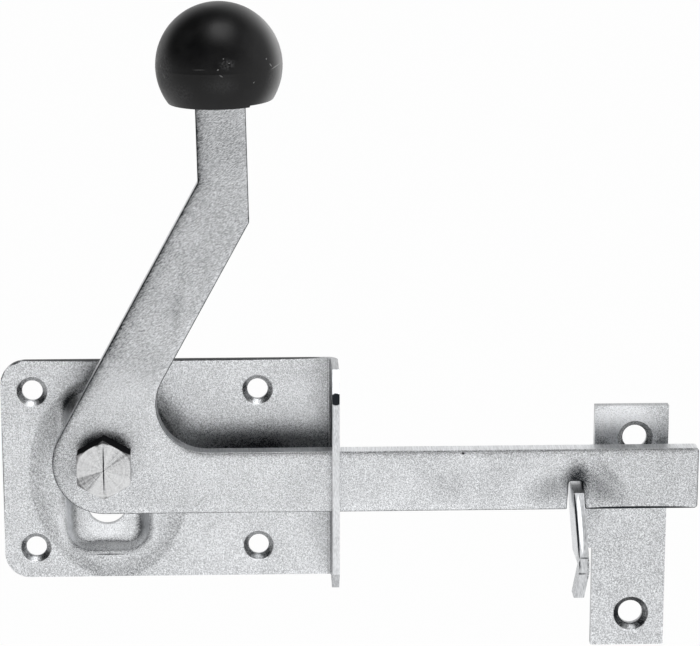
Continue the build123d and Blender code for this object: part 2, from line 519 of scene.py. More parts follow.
    @staticmethod
    def polish(piece: Piece, sharper_than: float = 38.0) -> None:
        """Sets smooth shading that keeps flat faces flat.

        Args:
            piece: The piece.
            sharper_than: Least turn of an edge that stays sharp, in degrees.
        """
        Bench.pick(piece)
        bpy.ops.object.shade_smooth_by_angle(angle=radians(sharper_than))
        Bench.apply(piece, "WEIGHTED_NORMAL", keep_sharp=True, weight=80)


@dataclass(frozen=True)
class Patch:
    """Soft-edged place on a surface, such as a stained place, a nick, or painted shade or light.

    It fades from its core, a share of its reach, to its edge, which can be ragged. A strength over zero
    darkens, and one under zero brightens.
    """

    centre: Place
    reach: Place
    strength: float
    turn: float = 0.0
    core: float = 0.2
    ragged: float = 0.6


class Recipe:
    """Makes the nodes of one material or world."""

    def __init__(self, tree: bpy.types.NodeTree) -> None:
        """Keeps the node tree that the nodes go into."""
        self.tree = tree

    def node(self, kind: str, settings: dict[str, object] | None = None, **inputs: object) -> bpy.types.Node:
        """Adds one node.

        Args:
            kind: The node's type.
            settings: Values set on the node itself, before its sockets are used.
            inputs: What its sockets get, as feed takes them.

        Returns:
            The node.
        """
        node = self.tree.nodes.new(kind)
        for name, value in (settings or {}).items():
            setattr(node, name, value)
        self.feed(node, **inputs)
        return node

    def feed(self, node: bpy.types.Node, **inputs: object) -> None:
        """Links or sets a node's sockets.

        Args:
            node: The node.
            inputs: Socket names with spaces as underscores, or in0, in1 for a socket's place, each with a
                number, a colour, a vector, a Value or a socket.
        """
        for name, value in inputs.items():
            by_place = name[:2] == "in" and name[2:].isdigit()
            socket = node.inputs[int(name[2:]) if by_place else name.replace("_", " ")]
            source = value.socket if isinstance(value, Value) else value
            if isinstance(source, Socket):
                self.tree.links.new(source, socket)
            else:
                socket.default_value = source

    def math(self, operation: str, *values: "float | Value", clamp: bool = False) -> "Value":
        """Value of a Math node.

        Args:
            operation: The node's operation.
            values: Numbers or values it works on.
            clamp: Whether the result is kept between 0 and 1.

        Returns:
            The result.
        """
        inputs = {f"in{place}": value for place, value in enumerate(values)}
        node = self.node("ShaderNodeMath", {"operation": operation, "use_clamp": clamp}, **inputs)
        return Value(self, node.outputs[0])

    def vector(self, operation: str, *vectors: Socket | Place) -> bpy.types.Node:
        """Adds a Vector Math node.

        Args:
            operation: The node's operation.
            vectors: Vectors it works on.

        Returns:
            The node.
        """
        inputs = {f"in{place}": vector for place, vector in enumerate(vectors)}
        return self.node("ShaderNodeVectorMath", {"operation": operation}, **inputs)

    def length(self, vector: Socket) -> "Value":
        """Length of a vector."""
        return Value(self, self.vector("LENGTH", vector).outputs["Value"])

    def axes(self, vector: Socket) -> tuple["Value", "Value", "Value"]:
        """The three coordinates of a vector."""
        outputs = self.node("ShaderNodeSeparateXYZ", Vector=vector).outputs
        return tuple(Value(self, outputs[name]) for name in "XYZ")

    def mix(self, factor: "Value", first: Socket | Colour, second: Socket | Colour) -> Socket:
        """Colour between two colours.

        Args:
            factor: 0 or less for the first colour, 1 or more for the second.
            first: Colour or colour socket.
            second: Colour or colour socket.

        Returns:
            The mixed colour's socket.
        """
        kept = self.math("MULTIPLY", factor, 1.0, clamp=True)
        node = self.node("ShaderNodeMix", {"data_type": "RGBA"}, in0=kept, in6=first, in7=second)
        return node.outputs[2]

    def normal(self) -> tuple["Value", "Value", "Value"]:
        """How far the surface faces along each axis."""
        return self.axes(self.node("ShaderNodeTexCoord").outputs["Normal"])

    def local(self, centre: Place = (0, 0, 0), reach: float | Place = 1.0, turn: float = 0.0) -> Socket:
        """Surface point measured from a place, in its own reach along turned axes.

        Args:
            centre: The place's x, depth and z, in millimetres.
            reach: What counts as one, in millimetres, along all axes or each of them.
            turn: Angle of the first axis above the x axis, in degrees.

        Returns:
            The measured point.
        """
        x, depth, z = centre
        sizes = (reach,) * 3 if isinstance(reach, float) else reach
        node = self.node(
            "ShaderNodeMapping",
            {"vector_type": "TEXTURE"},
            Vector=self.node("ShaderNodeTexCoord").outputs["Object"],
            Location=(x * MM, -depth * MM, z * MM),
            Rotation=(0, -radians(turn), 0),
            Scale=tuple(size * MM for size in sizes),
        )
        return node.outputs["Vector"]

    def noise(self, where: Socket, scale: float = 1.0, detail: float = 2.0) -> "Value":
        """Cloudy noise, around one half.

        Args:
            where: The point that it is read at.
            scale: How many of its cells go into one unit.
            detail: How many finer layers it has.

        Returns:
            The noise.
        """
        node = self.node("ShaderNodeTexNoise", Vector=where, Scale=scale, Detail=detail)
        return Value(self, node.outputs["Fac"])

    def clouds(
        self, size: float | Place, detail: float = 2.0, centre: Place = (0, 0, 0), turn: float = 0.0
    ) -> "Value":
        """Cloudy noise on the surface, with cells of a size in millimetres."""
        return self.noise(self.local(centre, size, turn), detail=detail)

    def bump(self, height: "Value", strength: float, distance: float) -> Socket:
        """Surface direction with a relief.

        Args:
            height: The relief, around 0 to 1.
            strength: How much of it shows.
            distance: Its depth, in millimetres.

        Returns:
            The direction's socket.
        """
        return self.node(
            "ShaderNodeBump", Height=height, Strength=strength, Distance=distance * MM
        ).outputs["Normal"]

    def patch(self, patch: Patch, ragged: "float | Value") -> "Value":
        """Mask of a soft-edged place on the surface.

        Args:
            patch: The place.
            ragged: What makes its edge uneven, around zero.

        Returns:
            Its strength inside, and 0 outside.
        """
        away = self.length(self.local(patch.centre, patch.reach, patch.turn)) + ragged * patch.ragged
        return (1 - away.smooth(patch.core, 1.0)) * patch.strength

    def patches(self, patches: Sequence[Patch], ragged: "float | Value") -> "float | Value":
        """Sum of the masks of several places."""
        return sum((self.patch(patch, ragged) for patch in patches), start=0.0)


@dataclass(frozen=True)
class Value:
    """Number socket that takes part in Python arithmetic."""

    recipe: Recipe
    socket: Socket

    def __add__(self, other: "float | Value") -> "Value":
        """Sum."""
        return self.recipe.math("ADD", self, other)

    def __sub__(self, other: "float | Value") -> "Value":
        """Difference."""
        return self.recipe.math("SUBTRACT", self, other)

    def __mul__(self, other: "float | Value") -> "Value":
        """Product."""
        return self.recipe.math("MULTIPLY", self, other)

    def __radd__(self, other: float) -> "Value":
        """Sum with a number first."""
        return self.recipe.math("ADD", other, self)

    def __rsub__(self, other: float) -> "Value":
        """Difference from a number."""
        return self.recipe.math("SUBTRACT", other, self)

    def __rmul__(self, other: float) -> "Value":
        """Product with a number first."""
        return self.recipe.math("MULTIPLY", other, self)

    def __neg__(self) -> "Value":
        """Value with its sign changed."""
        return self.recipe.math("SUBTRACT", 0, self)

    def __abs__(self) -> "Value":
        """Size without its sign."""
        return self.recipe.math("ABSOLUTE", self)

    def larger(self, other: "float | Value") -> "Value":
        """Larger of two values."""
        return self.recipe.math("MAXIMUM", self, other)

    def smooth(self, low: float, high: float) -> "Value":
        """Goes smoothly from 0 at one value to 1 at another.

        Args:
            low: The value that gives 0.
            high: The value that gives 1.

        Returns:
            The smoothed value.
        """
        settings = {"interpolation_type": "SMOOTHSTEP"}
        node = self.recipe.node("ShaderNodeMapRange", settings, Value=self, From_Min=low, From_Max=high)
        return Value(self.recipe, node.outputs[0])


@dataclass(frozen=True)
class Finish:
    """Finish of one kind of surface."""

    name: str

    def dress(self, piece: Piece) -> None:
        """Gives the piece this finish.

        Args:
            piece: The finished piece.
        """
        material = bpy.data.materials.new(self.name)
        material.use_nodes = True
        self.paint(Recipe(material.node_tree), material.node_tree.nodes["Principled BSDF"])
        piece.data.materials.clear()
        piece.data.materials.append(material)

    def paint(self, recipe: Recipe, shader: bpy.types.Node) -> None:
        """Makes the nodes that feed the shader."""
        raise NotImplementedError


@dataclass(frozen=True)
class ZincPlate(Finish):
    """Zinc plating over rolled steel, speckled, cloudy and stained, with sheared edges, and with painted
    light and shade on its edges, its sides and in places.
    """

    light: Colour = (0.95, 0.965, 0.985, 1)
    dark: Colour = (0.02, 0.023, 0.027, 1)
    tone: float = 0.67
    roughness: float = 0.42
    texture_roughness: float = 0.15
    stain_roughness: float = 0.1
    bump: float = 0.9
    relief: float = 0.05
    # Fine and coarse speckle, which stained places and places of painted shade partly hide.
    speckle_size: float = 0.31
    speckle_shift: float = -0.093
    speckle_depth: float = 0.72
    fineness: float = 0.82
    fine_band: Pair = (0.3, 0.7)
    coarse_times: float = 2.6
    coarse_band: Pair = (0.25, 0.75)
    calmed_band: Pair = (0.12, 0.5)
    calm_share: float = 0.5
    cloud_size: float = 16.0
    cloud_depth: float = 0.26
    ragged_size: float = 2.5
    # Slanting rolled grain on the handle, between two heights, where painted shade also darkens the handle.
    grain_above: Pair | None = None
    grain_turn: float = 30.0
    grain_size: Place = (0.95, 0.6, 0.26)
    grain_band: Pair = (0.2, 0.8)
    grain_share: float = 0.75
    grain_shade: float = 0.14
    # Sheared sides of the sheet, with painted shade on them (painted light where that number is below zero),
    # and how squarely a face has to look along its depth.
    side_facing: Pair = (0.35, 0.75)
    side_shade: float = 0.12
    shear_size: Place = (0.4, 5.0, 1.4)
    shear_depth: float = 0.6
    # Painted shade on rounded edges, seen from the front, the left and below, before and past the sheet's
    # fold.
    edge_facing: Pair = (0.75, 0.97)
    edge_shade: float = 0.25
    fold: Pair | None = None
    fold_edge_shade: float = 0.08
    left_facing: Pair = (0.02, 0.4)
    left_shade: float = 0.0
    under_facing: Pair = (0.25, 0.6)
    under_shade: float = 0.0
    # Places of its own: stained and marked places, both also holding painted shadow, shade and light, and
    # pressed slopes that don't count as edges.
    stains: tuple[Patch, ...] = ()
    marks: tuple[Patch, ...] = ()
    pressed: tuple[Patch, ...] = ()

    def paint(self, recipe: Recipe, shader: bpy.types.Node) -> None:
        """Makes the speckle, clouds, grain, stained places and sheared edges, and the painted light and
        shade.

        Args:
            recipe: The material's nodes.
            shader: The shader that they feed.
        """
        x, _, z = recipe.axes(recipe.local())
        across, _, upward = recipe.normal()
        face, bent = self._face(recipe, x)
        side = 1 - face.smooth(*self.side_facing)
        rounded = 1 - side
        slanted = (1 - face.smooth(*self.edge_facing)) * (1 - recipe.patches(self.pressed, 0.0)) * rounded
        high = z.smooth(*self.grain_above) if self.grain_above else 0.0
        texture = self._texture(recipe, high, side)
        clouds = recipe.clouds(self.cloud_size, 3.0)
        # Patches of real stains and marks together with painted shadow, shade and light: over zero darkens,
        # under zero lightens.
        stain_and_painted_light = recipe.patches((*self.stains, *self.marks), recipe.clouds(self.ragged_size, 3.0) - 0.5)
        speckle_depth = (1 - stain_and_painted_light.smooth(*self.calmed_band) * self.calm_share) * self.speckle_depth
        tone = self.tone + (texture - 0.5) * speckle_depth + (clouds - 0.5) * self.cloud_depth
        # Painted shade on the sheet's sides (painted light where that number is below zero), and painted
        # shade high on the handle.
        tone = tone - stain_and_painted_light - side * self.side_shade - high * self.grain_shade
        # Painted shade on slanted, rounded edges, before and past the fold.
        tone = tone - slanted * (self.edge_shade * (1 - bent) + self.fold_edge_shade * bent)
        # Painted shade on rounded edges that face left, and on those that face down.
        if self.left_shade:
            tone = tone - (-across).smooth(*self.left_facing) * rounded * self.left_shade
        if self.under_shade:
            tone = tone - across.larger(-upward).smooth(*self.under_facing) * rounded * self.under_shade
        roughness = self.roughness + (texture - 0.5) * self.texture_roughness
        recipe.feed(
            shader,
            Base_Color=recipe.mix(tone, self.dark, self.light),
            Metallic=1.0,
            Roughness=roughness + stain_and_painted_light * self.stain_roughness,
            Normal=recipe.bump(texture, self.bump, self.relief),
        )

    def _texture(self, recipe: Recipe, high: float | Value, side: Value) -> Value:
        """Speckle on the faces, grain on the handle and shear marks on the sides.

        Args:
            recipe: The material's nodes.
            high: 1 where the grain is, 0 elsewhere.
            side: 1 on the sheet's sides, 0 on its faces.

        Returns:
            The texture, around one half.
        """
        shift = (0.0, self.speckle_shift, 0.0)
        fine = recipe.clouds(self.speckle_size, 1.0, shift).smooth(*self.fine_band)
        coarse = recipe.clouds(self.coarse_times * self.speckle_size, 2.0, shift).smooth(*self.coarse_band)
        texture = fine * self.fineness + coarse * (1 - self.fineness)
        if self.grain_above:
            grain = recipe.clouds(self.grain_size, 1.5, turn=self.grain_turn).smooth(*self.grain_band)
            share = high * self.grain_share
            texture = texture * (1 - share) + grain * share
        shear = recipe.clouds(self.shear_size, 1.0).smooth(0.0, 1.0)
        sheared = shear * self.shear_depth + (1 - self.shear_depth) / 2
        return texture * (1 - side) + sheared * side

    def _face(self, recipe: Recipe, x: Value) -> tuple[Value, float | Value]:
        """Where the surface is a face of the sheet.

        Args:
            recipe: The material's nodes.
            x: The surface's place along X.

        Returns:
            How squarely it is a face, and whether it is past the fold.
        """
        across, forward, _ = recipe.normal()
        if not self.fold:
            return abs(forward), 0.0
        bent = x.smooth(*self.fold) if self.fold[0] < self.fold[1] else 1 - x.smooth(*reversed(self.fold))
        return abs(forward) * (1 - bent) + abs(across) * bent, bent


@dataclass(frozen=True)
class Glint:
    """Spoke of light or shade across a turned face, at an angle and of a width in degrees."""

    angle: float
    width: float
    gain: float

    def over(self, recipe: Recipe, outward: Socket) -> Value:
        """The glint, in both directions from the centre.

        Args:
            recipe: The material's nodes.
            outward: Direction away from the centre.

        Returns:
            Its gain inside, and 0 outside.
        """
        towards = (cos(radians(self.angle)), 0, sin(radians(self.angle)))
        along = Value(recipe, recipe.vector("DOT_PRODUCT", outward, towards).outputs["Value"])
        return abs(along).smooth(cos(radians(self.width)), 1.0) * self.gain


@dataclass(frozen=True)
class TurnedSteel(Finish):
    """Bright plated steel with turned faces round the pivot, with painted reflections across them and
    painted shade on faces that look up.
    """

    centre: Pair = (-13.4, 6.8)
    light: Colour = (0.76, 0.765, 0.77, 1)
    dark: Colour = (0.02, 0.02, 0.022, 1)
    tone: float = 0.59
    roughness: float = 0.33
    spoke_roughness: float = 0.3
    bump: float = 0.35
    relief: float = 0.03
    ring_share: float = 0.7
    # Painted spokes of reflected light and shade, rings from turning and fine speckle.
    glints: tuple[Glint, ...] = (Glint(38.0, 27.0, -0.5), Glint(68.0, 18.0, 0.4), Glint(-42.0, 30.0, 0.15))
    spokes_round: float = 4.0
    spoke_band: Pair = (0.2, 0.8)
    spoke_depth: float = 0.6
    rings_per_mm: float = 2.6
    ring_depth: float = 0.5
    speckle_size: float = 0.7
    speckle_depth: float = 0.5
    # Painted shade: faces that look up are darker, and they are duller.
    top_facing: Pair = (0.3, 0.8)
    top_shade: float = 1.2
    marks: tuple[Patch, ...] = ()

    def paint(self, recipe: Recipe, shader: bpy.types.Node) -> None:
        """Makes the turned rings, the painted spokes of reflected light and shade across them, the painted
        shade on upward faces and the marks.

        Args:
            recipe: The material's nodes.
            shader: The shader that they feed.
        """
        around = recipe.local((self.centre[0], 0, self.centre[1]))
        flat = recipe.vector("MULTIPLY", around, (1, 0, 1)).outputs["Vector"]
        outward = recipe.vector("NORMALIZE", flat).outputs["Vector"]
        # Painted reflection: spokes of light and shade round the centre, with the glints added.
        spokes = recipe.noise(outward, self.spokes_round, 1.0).smooth(*self.spoke_band)
        for glint in self.glints:
            spokes = spokes + glint.over(recipe, outward)
        away = recipe.node("ShaderNodeCombineXYZ", X=recipe.length(flat)).outputs[0]
        rings = recipe.noise(away, self.rings_per_mm, 3.0)
        speckle = recipe.clouds(self.speckle_size)
        # Painted shade on faces that look up.
        shaded = recipe.normal()[2].smooth(*self.top_facing)
        tone = self.tone + (spokes - 0.5) * self.spoke_depth + (rings - 0.5) * self.ring_depth
        tone = tone + (speckle - 0.5) * self.speckle_depth
        tone = tone - recipe.patches(self.marks, recipe.clouds(1.0) - 0.5) - shaded * self.top_shade
        relief = rings * self.ring_share + speckle * (1 - self.ring_share)
        recipe.feed(
            shader,
            Base_Color=recipe.mix(tone, self.dark, self.light),
            Metallic=1.0,
            Roughness=self.roughness + (spokes - 0.5) * self.spoke_roughness + shaded,
            Normal=recipe.bump(relief, self.bump, self.relief),
        )


@dataclass(frozen=True)
class MouldedPlastic(Finish):
    """Dull black moulding with fine grain, scuffs, specks and scratches, and a painted sheen at glancing
    angles.
    """

    colour: Colour = (0.005, 0.005, 0.0055, 1)
    worn: Colour = (0.09, 0.09, 0.092, 1)
    pale: Colour = (0.5, 0.5, 0.5, 1)
    roughness: float = 0.42
    cloud_roughness: float = 0.3
    scuff_roughness: float = 0.15
    gloss: float = 0.28
    grain_size: float = 0.8
    grain_band: Pair = (0.35, 0.7)
    bump: float = 0.4
    relief: float = 0.05
    cloud_size: float = 9.0
    cloud_band: Pair = (0.45, 0.75)
    cloud_wear: float = 0.12
    ragged_size: float = 1.6
    # Painted sheen at glancing angles, strongest on the right, where it stands in for light from that side.
    painted_sheen: float = 1.3
    painted_sheen_band: Pair = (0.35, 0.95)
    haze_facing: Pair = (0.3, 0.95)
    painted_sheen_elsewhere: float = 0.12
    scuffs: tuple[Patch, ...] = ()
    specks: tuple[Patch, ...] = ()

    def paint(self, recipe: Recipe, shader: bpy.types.Node) -> None:
        """Makes the grain, the scuffed places, the pale specks and the painted sheen.

        Args:
            recipe: The material's nodes.
            shader: The shader that they feed.
        """
        grain = recipe.clouds(self.grain_size, 3.0)
        clouds = recipe.clouds(self.cloud_size, 3.0)
        ragged = recipe.clouds(self.ragged_size, 3.0) - 0.5
        scuff = recipe.patches(self.scuffs, ragged) * grain.smooth(*self.grain_band)
        # Painted sheen: paler base colour at glancing angles, mostly on the right.
        facing = Value(recipe, recipe.node("ShaderNodeLayerWeight", Blend=0.5).outputs["Facing"])
        rightwards = recipe.normal()[0].smooth(*self.haze_facing)
        share = rightwards * (1 - self.painted_sheen_elsewhere) + self.painted_sheen_elsewhere
        pale = recipe.patches(self.specks, ragged) + facing.smooth(*self.painted_sheen_band) * share * self.painted_sheen
        wear = clouds.smooth(*self.cloud_band) * self.cloud_wear + scuff
        recipe.feed(
            shader,
            Base_Color=recipe.mix(pale, recipe.mix(wear, self.colour, self.worn), self.pale),
            Roughness=self.roughness + (clouds - 0.5) * self.cloud_roughness + scuff * self.scuff_roughness,
            Specular_IOR_Level=self.gloss,
            Normal=recipe.bump(grain, self.bump, self.relief),
        )


def hand_over(piece: Piece, finish: Finish, node: str, body: str) -> Piece:
    """Dresses a detailed piece with its finish, and lets it stand for a node and ride on its body.

    Args:
        piece: The detailed piece.
        finish: Its finish.
        node: The node that it stands for.
        body: The body that it moves with.

    Returns:
        The piece.
    """
    finish.dress(piece)
    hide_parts(node)
    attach(piece, body)
    return piece


@dataclass(frozen=True)
class ScrewHole:
    """Screw hole with a 90 degree countersink at its front."""

    diameter: float
    head_diameter: float

    def cutter(self, centre: Pair, face_depth: float) -> Piece:
        """Solid that cuts the hole.

        Args:
            centre: The hole's place along X and Z.
            face_depth: Depth of the face that it opens in.

        Returns:
            The cutter.
        """
        sink = (self.head_diameter - self.diameter) / 2
        drill = Bench.bar_stock("drill", self.diameter / 2, (-CUT_MARGIN, face_depth - sink), centre, 64)
        with Bench.editing(drill):
            Bench.choose(drill, Element.FACE, at_depth(face_depth - sink))
            Bench.extrude((0, -(sink + CUT_MARGIN) * MM, 0))
            growth = (self.diameter / 2 + sink + CUT_MARGIN) / (self.diameter / 2)
            Bench.widen(growth, Drawing.FRONT.place(*centre, face_depth + CUT_MARGIN))
        return drill

    def light(self, holes: Sequence[Pair], face_depth: float) -> tuple[Patch, ...]:
        """Light and shade on the holes' cones.

        Args:
            holes: Middles of the holes along X and Z.
            face_depth: Depth of the face that they open in.

        Returns:
            A bright foot, a dark left side and a dark lower right for each hole.
        """
        radius = (self.diameter + self.head_diameter) / 4
        patches = []
        for x, z in holes:
            patches += [
                Patch((x - 0.5, face_depth, z - radius), (3.0, 2.6, 1.5), -0.6, core=0.4, ragged=0.1),
                Patch((x - radius, face_depth, z + 0.8), (1.5, 2.6, 3.6), 0.3, core=0.3, ragged=0.1),
                Patch(
                    (x + 0.75 * radius, face_depth, z - 0.75 * radius),
                    (1.7, 2.6, 1.7), 0.2, core=0.3, ragged=0.1,
                ),
            ]
        return tuple(patches)


@dataclass
class BasePlate:
    """Pressed sheet with a boss, a guide flange and four countersunk holes."""

    thickness: float = 2.5
    left: float = -49.25
    right: float = 66.0
    half_height: float = 38.75
    corner_radius: float = 8.5
    bend_radius: float = 1.0
    flange_depth: float = 24.0
    flange_chamfer: float = 7.0
    hole_pitch: Pair = (77.0, 56.0)
    screw: ScrewHole = ScrewHole(7.0, 10.4)
    boss_centre: Pair = (-13.4, 0.0)
    boss_front: float = 10.5
    boss_size: Pair = (21.69, 44.71)
    boss_radius: float = 4.5
    boss_run: Pair = (4.0, 7.7)
    boss_edge_soft: float = 2.6
    boss_root_soft: float = 2.4
    hollow_size: Pair = (18.6, 42.58)
    slot_travel: float = 21.2
    slot_width: float = 13.3
    window_depths: Pair = (12.3, 19.8)
    window_heights: Pair = (-11.1, 27.66)
    window_radius: float = 1.0
    edge_width: float = 0.3

    def make(self) -> list[Piece]:
        """Builds and dresses the base plate."""
        return [hand_over(self.build(), self.finish(), "base_plate", "fixed")]

    def build(self) -> Piece:
        """Folds the sheet, presses the boss and cuts the holes.

        Returns:
            The base plate.
        """
        plate = self._folded_sheet()
        self._press_boss(plate)
        self._cut_slot(plate)
        for centre in self._holes():
            Bench.combine(plate, self.screw.cutter(centre, self.thickness), Joining.CUT)
        self._cut_window(plate)
        Bench.soften(plate, self.edge_width)
        return plate

    def finish(self) -> ZincPlate:
        """Zinc plating with the plate's own painted light and shade, and its marks.

        Returns:
            The finish.
        """
        return ZincPlate(
            # Painted shade on the sheet's rounded edges, less of it past the fold.
            "plate_zinc", tone=0.7, fold=(62.0, 63.4), edge_shade=0.3,
            stains=(
                # Painted shade at the boss's upper left, and beside the handle.
                Patch((-24.0, 2.5, 23.0), (5.0, 8.0, 8.0), 0.3, turn=60),
                Patch((-18.7, 2.5, 31.9), (9.0, 3.0, 4.2), 0.32, turn=60, core=0.1, ragged=0.25),
                # Band round the boss, darker at its outer edge.
                Patch((-13.0, 2.5, -4.0), (28.0, 8.0, 36.5), 0.18, turn=8, core=0.94, ragged=0.05),
                Patch((-13.0, 2.5, -4.0), (24.5, 8.0, 33.0), -0.13, turn=8, core=0.82, ragged=0.05),
                # Painted light and shade on the boss: shade on its lower slope and right edge, light on its
                # right slope, front and left slope, and a line of shade under its foot.
                Patch((-13.4, 6.0, -25.6), (11.5, 6.0, 4.6), 0.18, core=0.75, ragged=0.1),
                Patch((-2.4, 8.5, -21.0), (3.6, 5.0, 9.0), 0.2, core=0.1, ragged=0.15),
                Patch((2.2, 5.0, -18.0), (2.6, 5.0, 11.0), -0.16, core=0.1, ragged=0.15),
                Patch((-13.4, 10.5, -18.5), (8.0, 2.0, 5.0), -0.14, core=0.5, ragged=0.1),
                Patch((-28.3, 6.0, -19.0), (4.6, 6.0, 13.0), -0.32, core=0.5, ragged=0.1),
                Patch((-13.4, 2.5, -30.6), (8.0, 3.0, 0.45), 0.5, core=0.3, ragged=0.2),
                # Shade over the arm, and in the corner between arm and handle.
                Patch((38.0, 2.5, 7.0), (44.0, 3.0, 11.5), 0.72, core=0.0, ragged=0.04),
                Patch((7.0, 2.5, 18.0), (12.0, 3.0, 9.0), 0.32, turn=-40, ragged=0.1),
            ),
            marks=(
                # Painted shade along the sheet's outline: upper edge, left edge and the corner between them.
                Patch((8.0, 1.0, 38.9), (57.0, 3.0, 0.6), 0.72, core=0.9, ragged=0.05),
                Patch((-49.3, 1.0, 0.0), (0.6, 3.0, 31.0), 0.6, core=0.5, ragged=0.05),
                Patch((-44.0, 2.5, 38.1), (3.8, 3.0, 0.5), 0.6, turn=22.5, core=0.5, ragged=0.05),
                Patch((-48.6, 2.5, 33.5), (3.8, 3.0, 0.5), 0.6, turn=67.5, core=0.5, ragged=0.05),
                # Painted shade on the flange: its inner face above and below the arm, and its two front
                # corners.
                Patch((63.4, 13.0, 24.0), (0.8, 17.0, 23.0), 0.62, core=0.25, ragged=0.1),
                Patch((63.4, 13.0, -18.0), (0.8, 17.0, 30.0), 0.4, core=0.25, ragged=0.1),
                Patch((64.8, 24.0, 30.2), (2.0, 1.5, 2.3), 0.68, core=0.8, ragged=0.2),
                Patch((64.8, 24.0, -34.4), (1.8, 1.5, 2.3), 0.28, core=0.8, ragged=0.3),
                *self.screw.light(self._holes(), self.thickness),
            ),
            pressed=(Patch((-13.4, 6.0, 0.0), (22.0, 4.2, 34.0), 0.85, core=0.95),),
        )

    def _holes(self) -> list[Pair]:
        """Middles of the four screw holes, along X and Z."""
        half_x, half_z = self.hole_pitch[0] / 2, self.hole_pitch[1] / 2
        return [(x, z) for x in (-half_x, half_x) for z in (-half_z, half_z)]

    def _folded_sheet(self) -> Piece:
        """Sheet with its flange folded forwards and its corners shaped.

        Returns:
            The sheet.
        """
        t, inner = self.thickness, self.bend_radius
        section = [
            Corner(self.left, 0),
            Corner(self.right, 0, inner + t, 12),
            Corner(self.right, self.flange_depth),
            Corner(self.right - t, self.flange_depth),
            Corner(self.right - t, t, inner, 8),
            Corner(self.left, t),
        ]
        height = 2 * self.half_height
        plate = Bench.blank("base_plate_sheet", Drawing.PLAN, section, -self.half_height, height)
        with Bench.editing(plate):
            Bench.choose(plate, Element.EDGE, self._is_plate_corner)
            Bench.bevel(self.corner_radius, 16)
            Bench.choose(plate, Element.EDGE, self._is_flange_corner)
            Bench.bevel(self.flange_chamfer, 1)
        return plate

    def _is_plate_corner(self, edge: Edge) -> bool:
        """Tests for the plate's two left corners.

        Args:
            edge: Edge of the sheet.

        Returns:
            Whether it is one of them.
        """
        one, other = (vert.co for vert in edge.verts)
        outside = all(level_with(abs(end.z), self.half_height) for end in (one, other))
        at_left = all(level_with(end.x, self.left) for end in (one, other))
        return outside and at_left and abs(one.y - other.y) > MM

    def _is_flange_corner(self, edge: Edge) -> bool:
        """Tests for the flange's two front corners.

        Args:
            edge: Edge of the sheet.

        Returns:
            Whether it is one of them.
        """
        one, other = (vert.co for vert in edge.verts)
        outside = all(level_with(abs(end.z), self.half_height) for end in (one, other))
        in_front = all(level_with(end.y, -self.flange_depth) for end in (one, other))
        return outside and in_front and abs(one.x - other.x) > MM

    def _press_boss(self, plate: Piece) -> None:
        """Adds the boss with its soft edges, and cuts the hollow behind it.

        Args:
            plate: The folded sheet.
        """
        boss = self._pressing("boss", self.boss_size, self.boss_radius, (self.thickness, self.boss_front))
        with Bench.editing(boss):
            Bench.choose(boss, Element.EDGE, at_depth(self.boss_front))
            Bench.bevel(self.boss_edge_soft, 8)
        self._reach_back(boss, self.thickness)
        Bench.combine(plate, boss, Joining.ADD)
        with Bench.editing(plate):
            Bench.choose(plate, Element.EDGE, self._is_boss_root)
            Bench.bevel(self.boss_root_soft, 8)
        radius = self.boss_radius - self.thickness
        hollow = self._pressing("hollow", self.hollow_size, radius, (0.0, self.boss_front - self.thickness))
        self._reach_back(hollow, 0.0)
        Bench.combine(plate, hollow, Joining.CUT)

    def _pressing(self, name: str, size: Pair, radius: float, ends: Pair) -> Piece:
        """Block with sloping sides, as pressed into the sheet.

        Args:
            name: Name of the new piece.
            size: Width and height of its front.
            radius: Corner radius of its front.
            ends: Depths of its foot and front.

        Returns:
            The closed solid.
        """
        (width, height), (run_x, run_z) = size, self.boss_run
        foot = rounded_rectangle(width + 2 * run_x, height + 2 * run_z, radius + run_x, self.boss_centre)
        front = rounded_rectangle(width, height, radius, self.boss_centre)
        return Bench.stack(name, Drawing.FRONT, ((foot, ends[0]), (front, ends[1])))

    @staticmethod
    def _reach_back(block: Piece, depth: float) -> None:
        """Lengthens a block backwards by the cutting margin.

        Args:
            block: The block.
            depth: Depth of its back.
        """
        with Bench.editing(block):
            Bench.choose(block, Element.FACE, at_depth(depth))
            Bench.extrude((0, CUT_MARGIN * MM, 0))

    def _is_boss_root(self, edge: Edge) -> bool:
        """Tests for the edges round the foot of the boss.

        Args:
            edge: Edge of the plate.

        Returns:
            Whether it is one of them.
        """
        reach_x = self.boss_size[0] / 2 + self.boss_run[0] + SAME_PLACE
        reach_z = self.boss_size[1] / 2 + self.boss_run[1] + SAME_PLACE
        return all(
            level_with(vert.co.y, -self.thickness)
            and abs(vert.co.x / MM - self.boss_centre[0]) < reach_x
            and abs(vert.co.z / MM) < reach_z
            for vert in edge.verts
        )

    def _cut_slot(self, plate: Piece) -> None:
        """Cuts the upright slot in the boss.

        Args:
            plate: The plate with its boss.
        """
        size = (self.slot_width, self.slot_travel + self.slot_width)
        corners = rounded_rectangle(*size, self.slot_width / 2 - MERGE_WITHIN, self.boss_centre, 16)
        start = self.boss_front - self.thickness - CUT_MARGIN
        slot = Bench.blank("slot", Drawing.FRONT, corners, start, self.thickness + 2 * CUT_MARGIN)
        Bench.combine(plate, slot, Joining.CUT)

    def _cut_window(self, plate: Piece) -> None:
        """Cuts the window that guides the arm.

        Args:
            plate: The plate with its flange.
        """
        (back, front), (low, high) = self.window_depths, self.window_heights
        centre = ((back + front) / 2, (low + high) / 2)
        corners = rounded_rectangle(front - back, high - low, self.window_radius, centre, 6)
        start = self.right - self.thickness - CUT_MARGIN
        window = Bench.blank("window", Drawing.SIDE, corners, start, self.thickness + 2 * CUT_MARGIN)
        Bench.combine(plate, window, Joining.CUT)


